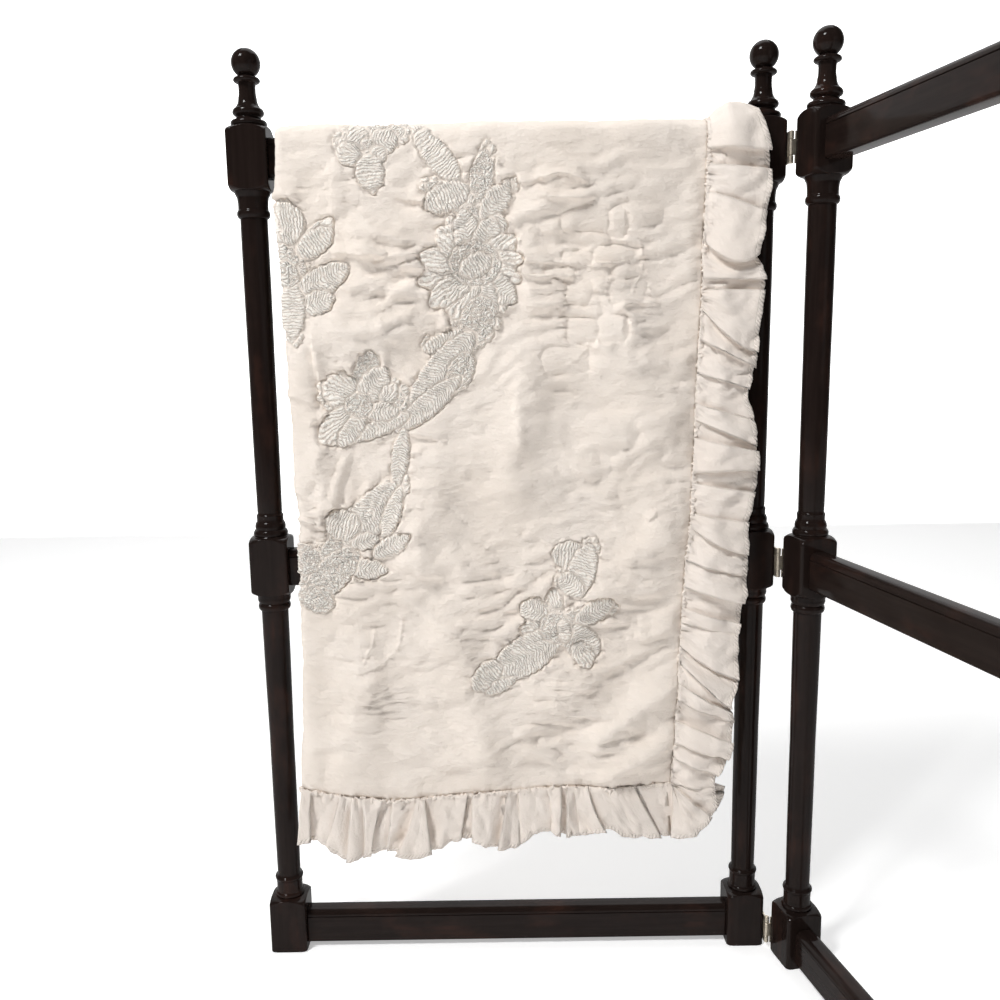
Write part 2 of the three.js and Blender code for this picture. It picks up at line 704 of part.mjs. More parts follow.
const rack = new THREE.Group();
rack.add(stand, wingPivot, standLeaves, coverlet);
rack.updateMatrixWorld(true);
const bounds = new THREE.Box3().setFromObject(rack, true);
rack.position.x = -(bounds.min.x + bounds.max.x) / 2;
rack.position.y = -(bounds.min.y + bounds.max.y) / 2;

export default rack;
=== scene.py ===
"""A baby coverlet hung on a folding quilt rack.

The coverlet is an oblong of white quilted cotton with a gathered ruffle sewn all round. It is folded in
half lengthwise, fold to the left, and hangs over the top rail of the rack's main panel. The rack has two
panels of turned posts and plain rails, hinged together so that the second one, the wing, swings.

Shapes are drawn in millimetres in a panel's own frame: x from the middle between its two posts, y away
from the viewer and z up from the floor.
"""

import math

import bpy
import numpy as np
from mathutils import Matrix, Vector


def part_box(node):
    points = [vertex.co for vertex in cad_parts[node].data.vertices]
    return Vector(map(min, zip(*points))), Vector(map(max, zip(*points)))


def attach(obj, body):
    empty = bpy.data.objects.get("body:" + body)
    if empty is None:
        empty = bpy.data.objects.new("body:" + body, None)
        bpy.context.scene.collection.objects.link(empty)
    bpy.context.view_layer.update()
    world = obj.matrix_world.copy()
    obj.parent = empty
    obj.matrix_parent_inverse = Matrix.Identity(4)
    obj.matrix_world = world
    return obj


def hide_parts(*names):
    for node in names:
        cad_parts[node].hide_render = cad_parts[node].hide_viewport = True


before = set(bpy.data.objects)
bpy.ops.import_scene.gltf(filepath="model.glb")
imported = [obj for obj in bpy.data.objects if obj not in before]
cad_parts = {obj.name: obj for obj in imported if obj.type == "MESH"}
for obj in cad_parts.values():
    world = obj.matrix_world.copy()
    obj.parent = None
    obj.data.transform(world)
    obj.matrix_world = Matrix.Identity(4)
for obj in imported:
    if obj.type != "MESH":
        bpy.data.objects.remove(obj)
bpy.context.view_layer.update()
bpy.context.scene.view_settings.view_transform = "Standard"


# The posts
# Four square posts of dark stained and lacquered wood, turned between their three blocks: a ball on a
# ringed neck on top, plain slightly swelling shafts with a collar at each end, and a block for each rail.

POST_SPACING = 486.0
POST_HEIGHT = 914.0
BLOCK_HALF_SIDE = 19.0
BLOCK_EDGE_RADIUS = 3.0
SHOULDER_BLEND = 0.7
ANGLES_PER_QUARTER = 16
ANGLES_PER_EDGE = 6
SHORT_STEP = 0.75
LONG_STEP = 14.0
BALL_RADIUS = 13.5
BALL_START = math.radians(-58)
BALL_STEPS = 26
TIP_RADIUS = 0.15
POST_CREASE_ANGLE = 50
WING_GRAIN_SHIFT = 40.0

# Height, radius, and how far the outline bulges between this row and the one before.
POST_OUTLINE = [
    (0.0, 23.5, 0.0), (3.5, 27.5, 0.8), (49.0, 27.5, 0.0), (58.2, 17.8, 2.4), (59.0, 14.6, 0.0),
    (61.5, 15.3, 0.4), (64.0, 13.6, 0.5), (77.0, 13.7, -0.3), (80.5, 14.3, 0.6), (84.0, 11.9, -0.7),
    (240.0, 12.4, 0.2), (373.0, 13.4, 0.2), (374.2, 15.2, 0.2), (380.0, 15.5, 0.8), (380.8, 14.8, 0.0),
    (386.5, 16.3, 0.7), (390.0, 17.0, 0.0), (400.0, 27.5, 2.4), (440.0, 27.5, 0.0), (449.6, 17.0, 2.4),
    (450.4, 16.4, 0.0), (456.2, 15.7, 0.9), (457.0, 14.6, 0.0), (464.0, 13.9, 0.8), (465.0, 13.2, 0.0),
    (471.0, 13.4, -0.2), (475.0, 12.2, -0.6), (620.0, 12.7, 0.2), (759.0, 12.9, 0.2), (760.4, 14.8, 0.2),
    (766.0, 15.1, 0.7), (767.0, 14.3, 0.0), (779.0, 15.0, -0.4), (783.8, 17.2, 0.2), (794.0, 27.5, 2.4),
    (833.0, 27.5, 0.0), (843.0, 16.8, 2.4), (843.8, 16.0, 0.0), (848.5, 15.9, 1.0), (849.4, 13.4, 0.0),
    (852.5, 11.4, -0.7), (853.3, 12.8, 0.1), (858.0, 14.2, 1.1), (860.0, 12.2, 0.3), (869.0, 8.6, -0.9),
    (877.0, 7.9, -0.3), (882.5, 8.4, -0.2), (883.3, 11.2, 0.2), (886.6, 11.8, 0.9), (888.0, 9.0, 0.3),
]


class Panel:
    """The frame of one panel of the rack, found from its two posts."""

    def __init__(self, near_post, far_post, body):
        near_low, near_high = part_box(near_post)
        far_low, far_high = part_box(far_post)
        near = np.array((near_low + near_high) / 2)
        far = np.array((far_low + far_high) / 2)
        self.body = body
        self.middle = (near + far) / 2
        self.middle[2] = 0.0
        self.across = (far - near) / np.linalg.norm(far - near)
        self.away = np.array([-self.across[1], self.across[0], 0.0])

    def to_world(self, points):
        points = np.asarray(points, float) / 1000.0
        upright = np.array([0.0, 0.0, 1.0])
        moved = points[..., 0:1] * self.across + points[..., 1:2] * self.away + points[..., 2:3] * upright
        return moved + self.middle


stand = Panel("post_left", "post_right", "stand")
wing = Panel("wing_post_near", "wing_post_far", "wing")


def outline_points(rows):
    """Height and radius along a turned outline, close together on its curves and far apart on shafts."""
    points = [(rows[0][0], rows[0][1])]
    for (z0, r0, _), (z1, r1, bulge) in zip(rows, rows[1:]):
        length = math.hypot(z1 - z0, r1 - r0)
        is_plain = abs(r1 - r0) < 1.5 and length > 30
        steps = max(1, math.ceil(length / (LONG_STEP if is_plain else SHORT_STEP)))
        for k in range(1, steps + 1):
            t = k / steps
            swell = 4 * bulge * t * (1 - t)
            z = z0 + t * (z1 - z0) + swell * abs(r1 - r0) / length * (1 if r1 < r0 else -1)
            points.append((z, r0 + t * (r1 - r0) + swell * (z1 - z0) / length))
    return points


def block_radius(angles):
    """Distance from the axis to the rounded square of the stock in each direction."""
    inner = BLOCK_HALF_SIDE - BLOCK_EDGE_RADIUS
    folded = np.abs((angles + math.pi / 4) % (math.pi / 2) - math.pi / 4)
    flat = BLOCK_HALF_SIDE / np.cos(folded)
    middle = inner * (np.cos(folded) + np.sin(folded))
    edge = middle + np.sqrt(np.maximum(middle**2 - 2 * inner**2 + BLOCK_EDGE_RADIUS**2, 0))
    return np.where(flat * np.sin(folded) <= inner, flat, edge)


def smooth_min(a, b, blend):
    share = np.clip(0.5 + 0.5 * (b - a) / blend, 0, 1)
    return b + (a - b) * share - blend * share * (1 - share)


def make_piece(name, points, faces, panel, attributes=None, sharp=None):
    """A mesh object from points in a panel's millimetres. Attributes are named arrays, one row a point."""
    mesh = bpy.data.meshes.new(name)
    mesh.from_pydata(panel.to_world(points).tolist(), [], faces)
    for key, values in (attributes or {}).items():
        is_vector = values.ndim == 2
        layer = mesh.attributes.new(key, "FLOAT_VECTOR" if is_vector else "FLOAT", "POINT")
        layer.data.foreach_set("vector" if is_vector else "value", values.astype(np.float32).ravel())
    mesh.shade_smooth()
    if sharp is not None:
        mesh.set_sharp_from_angle(angle=math.radians(sharp))
    piece = bpy.data.objects.new(name, mesh)
    bpy.context.scene.collection.objects.link(piece)
    return piece


def grid_faces(numbers):
    """Four-sided faces between the neighbours in a table of point numbers."""
    corners = (numbers[:-1, :-1], numbers[:-1, 1:], numbers[1:, 1:], numbers[1:, :-1])
    return np.stack(corners, axis=-1).reshape(-1, 4).tolist()


def ring_faces(ring_count, ring_size):
    """The faces of a closed solid that is made of rings of points and has two flat ends."""
    rings = np.arange(ring_count * ring_size).reshape(ring_count, ring_size)
    ends = [rings[0, ::-1].tolist(), rings[-1].tolist()]
    return grid_faces(np.pad(rings, ((0, 0), (0, 1)), mode="wrap")) + ends


def post_mesh():
    outline = outline_points(POST_OUTLINE)
    ball_z = POST_HEIGHT - BALL_RADIUS
    for k in range(BALL_STEPS):
        angle = BALL_START + (k / BALL_STEPS) * (math.pi / 2 - BALL_START)
        outline.append((ball_z + BALL_RADIUS * math.sin(angle), BALL_RADIUS * math.cos(angle)))
    outline.append((POST_HEIGHT, TIP_RADIUS))
    edge_from = math.atan2(BLOCK_HALF_SIDE - BLOCK_EDGE_RADIUS, BLOCK_HALF_SIDE)
    edge = np.linspace(edge_from, math.pi / 2 - edge_from, ANGLES_PER_EDGE)
    flats = np.arange(ANGLES_PER_QUARTER) * (math.pi / 2) / ANGLES_PER_QUARTER
    quarter = np.unique(np.round(np.concatenate([flats, edge]), 5))
    angles = np.concatenate([quarter + k * math.pi / 2 for k in range(4)])
    heights, turned = np.array(outline).T[..., None]
    radius = smooth_min(turned, block_radius(angles), SHOULDER_BLEND)
    x, y = radius * np.cos(angles), radius * np.sin(angles)
    points = np.stack([x, y, np.broadcast_to(heights, x.shape)], axis=-1).reshape(-1, 3)
    return points, ring_faces(len(outline), len(angles))


class Wire:
    """A node's output, which can be added, multiplied and so on with numbers and other outputs."""

    def __init__(self, tree, socket):
        self.tree = tree
        self.socket = socket

    def maths(self, operation, *values):
        return add_node(self.tree, "ShaderNodeMath", {"operation": operation}, dict(enumerate(values)))

    def __add__(self, other):
        return self.maths("ADD", self, other)

    def __sub__(self, other):
        return self.maths("SUBTRACT", self, other)

    def __rsub__(self, other):
        return self.maths("SUBTRACT", other, self)

    def __mul__(self, other):
        return self.maths("MULTIPLY", self, other)

    def __pow__(self, exponent):
        return self.maths("POWER", self, exponent)

    def __rpow__(self, base):
        return self.maths("POWER", base, self)

    def __abs__(self):
        return self.maths("ABSOLUTE", self)

    __radd__ = __add__
    __rmul__ = __mul__

    def sine(self):
        return self.maths("SINE", self)

    def between(self, low, high):
        """0 below low, 1 above high and smooth in between."""
        inputs = {"Value": self, "From Min": low, "From Max": high}
        return add_node(self.tree, "ShaderNodeMapRange", {"interpolation_type": "SMOOTHSTEP"}, inputs)


def add_node(tree, kind, settings, inputs, output=0):
    """Adds a node: its settings first, then the values or links of its sockets, by name or number."""
    node = tree.nodes.new(kind)
    for key, value in settings.items():
        setattr(node, key, value)
    for key, value in inputs.items():
        if isinstance(value, Wire):
            tree.links.new(value.socket, node.inputs[key])
        else:
            node.inputs[key].default_value = value
    return Wire(tree, node.outputs[output])


def new_material(name, **constants):
    """A material, and its shader with the sockets set that are the same all over."""
    material = bpy.data.materials.new(name)
    material.use_nodes = True
    shader = material.node_tree.nodes["Principled BSDF"]
    for key, value in constants.items():
        shader.inputs[key.replace("_", " ")].default_value = value
    return material, shader


def attribute(material, name, output="Vector"):
    return add_node(material.node_tree, "ShaderNodeAttribute", {"attribute_name": name}, {}, output)


def colour_mix(factor, first, second):
    """A mix of two colours, each three numbers or a wire."""
    first, second = (c if isinstance(c, Wire) else (*c, 1.0) for c in (first, second))
    return add_node(factor.tree, "ShaderNodeMix", {"data_type": "RGBA"}, {0: factor, 6: first, 7: second}, 2)


def noise(vector, scale, detail, roughness=0.55):
    """Noise between about 0 and 1. The scale says how fine it is along each of the vector's axes."""
    tree = vector.tree
    stretched = add_node(tree, "ShaderNodeVectorMath", {"operation": "MULTIPLY"}, {0: vector, 1: scale})
    inputs = {"Vector": stretched, "Scale": 1.0, "Detail": detail, "Roughness": roughness}
    return add_node(tree, "ShaderNodeTexNoise", {}, inputs)


def finish_surface(shader, colour, roughness, height):
    """Links what varies over the surface. Height is in metres."""
    bump = add_node(height.tree, "ShaderNodeBump", {}, {"Strength": 1.0, "Distance": 1.0, "Height": height})
    for key, wire in (("Base Color", colour), ("Roughness", roughness), ("Normal", bump)):
        height.tree.links.new(wire.socket, shader.inputs[key])


def dark_wood_material():
    """Close-grained wood, nearly black, with a reddish brown showing in places, under a lacquer that has
    gone a little dull and uneven."""
    constants = {"Specular_IOR_Level": 0.0, "Coat_Weight": 0.27, "Coat_Roughness": 0.09, "Coat_IOR": 1.4}
    material, shader = new_material("dark_wood", **constants)
    grain = attribute(material, "grain")
    streaks = noise(grain, (0.22, 0.22, 0.012), 4.0)
    mottling = noise(grain, (0.03, 0.03, 0.018), 3.0)
    pores = noise(grain, (1.6, 1.6, 0.06), 2.0)
    stained = colour_mix(mottling.between(0.48, 0.72), (0.0125, 0.0080, 0.0068), (0.030, 0.0145, 0.0108))
    colour = colour_mix(streaks.between(0.35, 0.75), stained, (0.0170, 0.0112, 0.0095))
    height = 0.00004 * streaks + 0.000012 * pores
    finish_surface(shader, colour, 0.3 + 0.22 * mottling + 0.08 * pores, height)
    return material


def finish_piece(piece, material, panel, node):
    """Gives a piece its material, the body it rides on and the node it replaces."""
    piece.data.materials.append(material)
    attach(piece, panel.body)
    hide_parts(node)


dark_wood = dark_wood_material()
post_points, post_faces = post_mesh()
for panel, middle_x, node in (
    (stand, -POST_SPACING / 2, "post_left"),
    (stand, POST_SPACING / 2, "post_right"),
    (wing, -POST_SPACING / 2, "wing_post_near"),
    (wing, POST_SPACING / 2, "wing_post_far"),
):
    placed = post_points + np.array([middle_x, 0.0, 0.0])
    grain = placed + np.array([0.0, WING_GRAIN_SHIFT if panel is wing else 0.0, 0.0])
    post = make_piece(f"turned_{node}", placed, post_faces, panel, {"grain": grain}, POST_CREASE_ANGLE)
    finish_piece(post, dark_wood, panel, node)


# The rails
# Plain straight rails of the same wood, rounded over on top, eased below, with a fine bead line run
# along each face near the top. Each is tenoned and glued between the blocks of two posts.

RAIL_HALF_THICKNESS = 10.5
RAIL_HEIGHT = 37.0
RAIL_TOP_RADIUS = 7.0
RAIL_BOTTOM_RADIUS = 3.0
RAIL_BASES = {"top": 796.0, "middle": 399.5, "bottom": 5.5}
RAIL_END_GAP = 0.3
BEAD_LINE_DROP = 7.5
BEAD_LINE_HALF_WIDTH = 0.7
BEAD_LINE_DEPTH = 0.8
RAIL_ARC_STEPS = 7
RAIL_STATIONS = 9
RAIL_CREASE_ANGLE = 32


def rail_section():
    """The rail's outline in y and z, anticlockwise from its lower left corner."""
    section = []
    corners = (
        (RAIL_HALF_THICKNESS, 0.0, RAIL_BOTTOM_RADIUS, -90),
        (RAIL_HALF_THICKNESS, RAIL_HEIGHT, RAIL_TOP_RADIUS, 0),
        (-RAIL_HALF_THICKNESS, RAIL_HEIGHT, RAIL_TOP_RADIUS, 90),
        (-RAIL_HALF_THICKNESS, 0.0, RAIL_BOTTOM_RADIUS, 180),
    )
    line_z = RAIL_HEIGHT - BEAD_LINE_DROP
    line = [(0.0, -BEAD_LINE_HALF_WIDTH), (BEAD_LINE_DEPTH, 0.0), (0.0, BEAD_LINE_HALF_WIDTH)]
    for y, z, radius, start in corners:
        side = math.copysign(1.0, y)
        centre_y = y - side * radius
        centre_z = radius if z == 0.0 else z - radius
        for k in range(RAIL_ARC_STEPS + 1):
            angle = math.radians(start + 90 * k / RAIL_ARC_STEPS)
            section.append((centre_y + radius * math.cos(angle), centre_z + radius * math.sin(angle)))
        if abs(start) == 90:
            section.extend((y - side * depth, line_z + side * dz) for depth, dz in line)
    return np.array(section)


rail_outline = rail_section()
rail_faces = ring_faces(RAIL_STATIONS, len(rail_outline))
half_length = POST_SPACING / 2 - BLOCK_HALF_SIDE - RAIL_END_GAP
stations = np.linspace(-half_length, half_length, RAIL_STATIONS)
for panel, prefix in ((stand, "rail"), (wing, "wing_rail")):
    for place, base in RAIL_BASES.items():
        node = f"{prefix}_{place}"
        points = np.array([(x, y, base + z) for x in stations for y, z in rail_outline])
        grain = points[:, [1, 2, 0]] + np.array([base, 0.0, 0.0])
        rail = make_piece(f"plain_{node}", points, rail_faces, panel, {"grain": grain}, RAIL_CREASE_ANGLE)
        finish_piece(rail, dark_wood, panel, node)


# The hinges
# Three small butt hinges of aged brass join the wing to the right post. Each has a leaf screwed to
# either post with two screws, and three knuckles that turn round a fixed pin.

HINGE_BASES = {"top": 799.0, "middle": 404.0, "low": 6.5}
HINGE_LENGTH = 29.0
HINGE_LEAF_THICKNESS = 1.2
HINGE_LEAF_WIDTH = 17.0
HINGE_BARREL_RADIUS = 2.4
HINGE_SEAT = 2.4
HINGE_CREASE_ANGLE = 35
PIN_FROM_POST_X = 21.7
PIN_Y = -21.4
KNUCKLE_SHARES = {"stand": ((0.0, 0.24), (0.76, 1.0)), "wing": ((0.252, 0.748),)}
KNUCKLE_SIDES = 28
KNUCKLE_CHAMFER = 0.35
LEAF_START = HINGE_BARREL_RADIUS + 0.5
LEAF_CORNER = 2.0
LEAF_CORNER_STEPS = 4
TAIL_OVERLAP = 0.4
TAIL_INSET = 0.1
SCREW_PLACES = (0.22, 0.78)
SCREW_Y = (LEAF_START + HINGE_LEAF_WIDTH) / 2 + 1.0
HEAD_SIDES = 16
# The heads of a screw and of the pin: height and radius.
SCREW_HEAD = [(-0.3, 2.6), (0.12, 2.6), (0.28, 1.56), (0.32, 0.3)]
PIN_HEAD = [(0.0, 1.9), (0.25, 1.7), (0.5, 0.9), (0.6, 0.2)]


def append_mesh(points, faces, more_points, more_faces):
    start = len(points)
    points.extend(more_points)
    faces.extend(tuple(start + k for k in face) for face in more_faces)


def lathe_mesh(rows, sides, axis="z", centre=(0.0, 0.0, 0.0)):
    """A closed turned solid from rows of height and radius along an axis through a centre."""
    points = []
    for height, radius in rows:
        for k in range(sides):
            angle = 2 * math.pi * k / sides
            u = radius * math.cos(angle)
            w = radius * math.sin(angle)
            offset = (u, w, height) if axis == "z" else (height, u, w)
            points.append(tuple(c + o for c, o in zip(centre, offset)))
    return points, ring_faces(len(rows), sides)


def leaf_plate(x, length):
    """A leaf: a thin plate from the barrel back along +y, with its two free corners rounded."""
    outline = [(0.0, 0.0)]
    for start, base, way in ((-90, 0.0, 1), (0, length, -1)):
        for k in range(LEAF_CORNER_STEPS + 1):
            angle = math.radians(start + 90 * k / LEAF_CORNER_STEPS)
            y = HINGE_LEAF_WIDTH - LEAF_CORNER + LEAF_CORNER * math.cos(angle)
            outline.append((y, base + way * LEAF_CORNER + LEAF_CORNER * math.sin(angle)))
    outline.append((0.0, length))
    points = [(side, y, z) for side in (x, x + HINGE_LEAF_THICKNESS) for y, z in outline]
    return points, ring_faces(2, len(outline))


def hinge_mesh(owner):
    """One leaf with the pin on its own z axis, lying at -x of it for the stand and +x for the wing."""
    points, faces = [], []
    is_stand = owner == "stand"
    leaf_x = -HINGE_SEAT if is_stand else HINGE_SEAT - HINGE_LEAF_THICKNESS
    plate_points, plate_faces = leaf_plate(leaf_x, HINGE_LENGTH)
    append_mesh(points, faces, [(x, max(y, LEAF_START), z) for x, y, z in plate_points], plate_faces)
    chamfered = HINGE_BARREL_RADIUS - KNUCKLE_CHAMFER
    for low, high in KNUCKLE_SHARES[owner]:
        z0, z1 = low * HINGE_LENGTH, high * HINGE_LENGTH
        barrel = [(z0 + KNUCKLE_CHAMFER, HINGE_BARREL_RADIUS), (z1 - KNUCKLE_CHAMFER, HINGE_BARREL_RADIUS)]
        append_mesh(points, faces, *lathe_mesh([(z0, chamfered), *barrel, (z1, chamfered)], KNUCKLE_SIDES))
        tail_points, tail_faces = leaf_plate(leaf_x, z1 - z0 - 2 * TAIL_INSET)
        tail = [(x, min(y, LEAF_START + TAIL_OVERLAP), z + z0 + TAIL_INSET) for x, y, z in tail_points]
        append_mesh(points, faces, tail, tail_faces)
    face_x = leaf_x + HINGE_LEAF_THICKNESS if is_stand else leaf_x
    screw = SCREW_HEAD if is_stand else [(-height, radius) for height, radius in reversed(SCREW_HEAD)]
    for share in SCREW_PLACES:
        centre = (face_x, SCREW_Y, share * HINGE_LENGTH)
        append_mesh(points, faces, *lathe_mesh(screw, HEAD_SIDES, "x", centre))
    if is_stand:
        append_mesh(points, faces, *lathe_mesh(PIN_HEAD, HEAD_SIDES, "z", (0.0, 0.0, HINGE_LENGTH)))
    return np.array(points), faces


def aged_brass_material():
    material, shader = new_material("aged_brass", Metallic=0.9, IOR=1.45)
    tarnish = noise(attribute(material, "grain"), (0.35, 0.35, 0.35), 4.0, 0.6)
    colour = colour_mix(tarnish.between(0.5, 0.75), (0.55, 0.49, 0.40), (0.30, 0.25, 0.19))
    finish_surface(shader, colour, 0.34 + 0.3 * tarnish, 0.00006 * tarnish)
    return material


aged_brass = aged_brass_material()
for owner, panel, side in (("stand", stand, 1), ("wing", wing, -1)):
    leaf_points, leaf_faces = hinge_mesh(owner)
    for place, base in HINGE_BASES.items():
        node = f"hinge_{place}_{owner}_leaf"
        placed = leaf_points + np.array([side * (POST_SPACING / 2 + PIN_FROM_POST_X), PIN_Y, base])
        hinge = make_piece(f"brass_{node}", placed, leaf_faces, panel, {"grain": placed}, HINGE_CREASE_ANGLE)
        finish_piece(hinge, aged_brass, panel, node)


# The coverlet's body
# One oblong of white cotton over a thin wadding, quilted round sprays of leaves and flowers. It is folded
# in half along its length and hung over the top rail, so that each drop has two layers, and its own
# weight holds it there.

CLOTH_THICKNESS = 3.0
LAYER_STEP = 6.0
BEND_CENTRE_Y = 5.0
BEND_CENTRE_Z = 825.3
INNER_BEND_RADIUS = 9.5
BACK_SEAM_Z = 413.0
SWAY = 3.0
SWAY_HEIGHT = 400.0
TOP_SLACK = 9.0
SLACK_FROM_X = (-100, 40)
SLACK_TO_X = (110, 182)
SLACK_BELOW_BEND = (95, 4)

# The folded left edge and the seam between body and ruffle on the right: height and x.
FOLD_EDGE = [
    (180, -221.5), (250, -215), (330, -213), (440, -211), (467, -208), (500, -211.5), (600, -212.5),
    (700, -214.5), (770, -217.4), (845, -215),
]
SIDE_SEAM = [
    (188, 161.2), (263, 164.3), (330, 168), (415, 172.3), (475, 177.3), (522, 178.5), (607, 181),
    (676, 184.6), (730, 184.6), (780, 187.3), (845, 188.4),
]
# The seam along the bottom of the front drop: x and height.
BOTTOM_SEAM = [
    (-222, 188.5), (-192, 182.3), (-120, 173.4), (-78, 177.2), (-36, 181), (47, 186.3), (130, 186),
    (163, 188.8),
]
# Soft folds of the hanging cloth: from x, z to x, z, half width and height.
SOFT_FOLDS = [
    (166, 292, 85, 232, 17, 10.2), (162, 238, 95, 196, 16, 8.5), (150, 455, 60, 372, 26, 8.5),
    (18, 600, 2, 500, 24, 10.2), (-62, 350, -24, 215, 24, 8.5), (-150, 310, -168, 205, 24, 8.5),
    (-190, 640, -110, 655, 24, 8.5), (-128, 735, -62, 716, 22, 8.5), (-70, 520, -95, 430, 25, 8.5),
    (95, 690, 140, 545, 28, 8.5), (40, 770, 120, 752, 24, 6.8), (70, 300, 10, 262, 24, 8.5),
]

LAYER_WIDTH = 400.0
FOLD_RADIUS = LAYER_STEP / 2
FOLD_WIDTH = math.pi * FOLD_RADIUS
FRONT_DROP = 642.0
QUARTER_BEND = math.pi / 2 * (INNER_BEND_RADIUS + LAYER_STEP)
BEND_TOP = 2 * BEND_CENTRE_Y
BACK_DROP = BEND_CENTRE_Z - BACK_SEAM_Z
BEND_START = FRONT_DROP
BEND_END = FRONT_DROP + 2 * QUARTER_BEND + BEND_TOP
CLOTH_ACROSS = 2 * LAYER_WIDTH + FOLD_WIDTH
CLOTH_ALONG = BEND_END + BACK_DROP


def smooth_step(low, high, value):
    t = np.clip((value - low) / (high - low), 0, 1)
    return t * t * (3 - 2 * t)


def read_table(rows, value, blur=8.0):
    """A table's second column read at value, with the kinks between its rows softened."""
    table = np.array(rows, float)
    shifts = (-blur, -blur / 2, 0.0, blur / 2, blur)
    return sum(np.interp(value + shift, table[:, 0], table[:, 1]) for shift in shifts) / len(shifts)


def line_distance(x, z, x1, z1, x2, z2):
    """Share along a stretch of line, the signed distance from it, positive on its left, and its length."""
    along_x, along_z = x2 - x1, z2 - z1
    length = math.hypot(along_x, along_z)
    share = ((x - x1) * along_x + (z - z1) * along_z) / length**2
    return share, ((z - z1) * along_x - (x - x1) * along_z) / length, length


def soft_fold_height(x, z):
    height = np.zeros_like(x)
    for x1, z1, x2, z2, width, rise in SOFT_FOLDS:
        share, away, length = line_distance(x, z, x1, z1, x2, z2)
        past = np.maximum(np.abs(share - 0.5) - 0.5, 0) * length
        height += rise * np.exp(-(away**2 + past**2) / width**2)
    return height


def hang(v):
    """Where the hanging line is at v: the side, the share of the drop, the bend's angle and centre."""
    past_front = v - BEND_START
    past_top = past_front - QUARTER_BEND - BEND_TOP
    on_back = past_top > 0
    side = np.where(past_front > QUARTER_BEND + BEND_TOP / 2, 1.0, -1.0)
    front_angle = np.clip(past_front / QUARTER_BEND, 0, 1) * math.pi / 2
    back_angle = (1 - np.clip(past_top / QUARTER_BEND, 0, 1)) * math.pi / 2
    angle = np.where(on_back, back_angle, front_angle)
    centre_y = np.clip(past_front - QUARTER_BEND - BEND_TOP / 2, -BEND_CENTRE_Y, BEND_CENTRE_Y)
    share = np.where(side < 0, v / FRONT_DROP, 1 - (v - BEND_END) / BACK_DROP)
    return side, np.clip(share, 0, 1), angle, centre_y


def cloth_point(a, v):
    """Where the flat cloth's place, a across it and v along it, lies once it is hung: the point in the
    middle of its thickness, the direction out of the drop, and the way that its right side faces."""
    a, v = np.broadcast_arrays(np.asarray(a, float), np.asarray(v, float))
    side, share, angle, centre_y = hang(v)
    turn = np.clip((a - LAYER_WIDTH) / FOLD_WIDTH, 0, 1) * math.pi
    past_fold = a > LAYER_WIDTH + FOLD_WIDTH / 2
    across = np.clip(np.where(past_fold, CLOTH_ACROSS - a, a) / LAYER_WIDTH, 0, 1)
    low_z = np.where(side < 0, read_table(BOTTOM_SEAM, 0.0), BACK_SEAM_Z)
    row_z = low_z + share * (BEND_CENTRE_Z - low_z)
    seam_x = read_table(SIDE_SEAM, row_z)
    fold_x = read_table(FOLD_EDGE, row_z) + CLOTH_THICKNESS / 2 + FOLD_RADIUS
    x = seam_x + across * (fold_x - seam_x) - FOLD_RADIUS * np.sin(turn)
    seam_z = np.where(side < 0, read_table(BOTTOM_SEAM, x), BACK_SEAM_Z)
    z = seam_z + share * (BEND_CENTRE_Z - seam_z)
    outward = np.stack([np.zeros_like(x), side * np.cos(angle), np.sin(angle)], axis=-1)
    on_drop = 1 - smooth_step(BEND_CENTRE_Z - 40, BEND_CENTRE_Z, z) * (share < 1) - (share >= 1)
    sway = SWAY * smooth_step(0, SWAY_HEIGHT, BEND_CENTRE_Z - z)
    relief = np.where(side < 0, soft_fold_height(x, z), 0.0) * on_drop
    layer = FOLD_RADIUS * (1 + np.cos(turn))
    point = np.stack([x, centre_y, np.where(share < 1, z, BEND_CENTRE_Z)], axis=-1)
    point = point + outward * (INNER_BEND_RADIUS + layer + sway + relief)[..., None]
    slack = smooth_step(*SLACK_FROM_X, x) * (1 - smooth_step(*SLACK_TO_X, x))
    near_bend = [BEND_CENTRE_Z - drop for drop in SLACK_BELOW_BEND]
    slack = TOP_SLACK * slack * smooth_step(*near_bend, z)
    point[..., 1] -= slack * np.cos(angle) * (side < 0)
    right_side = outward * np.cos(turn)[..., None]
    right_side[..., 0] -= np.sin(turn)
    return point, outward, right_side


# All fine unevenness, of the quilt and later of the ruffle, comes from random numbers with a fixed seed.
random = np.random.default_rng(20)
WAVE_TABLE = random.permutation(512)
WAVE_ANGLES = random.uniform(0, 2 * math.pi, 512)


def waves(x, y, layer=0):
    """Smooth random waves between about -1 and 1, one wave for each unit of x and y. Each layer has its
    own waves, so that no two sorts of relief follow each other."""
    column, row = np.floor(x).astype(int), np.floor(y).astype(int)
    u, w = x - column, y - row
    ease_u = u * u * u * (u * (6 * u - 15) + 10)
    ease_w = w * w * w * (w * (6 * w - 15) + 10)

    def corner(i, j):
        key = WAVE_TABLE[(column + i + 37 * layer + WAVE_TABLE[(row + j + 91 * layer) % 512]) % 512]
        return np.cos(WAVE_ANGLES[key]) * (u - i) + np.sin(WAVE_ANGLES[key]) * (w - j)

    low = corner(0, 0) + ease_u * (corner(1, 0) - corner(0, 0))
    high = corner(0, 1) + ease_u * (corner(1, 1) - corner(0, 1))
    return 1.6 * (low + ease_w * (high - low))


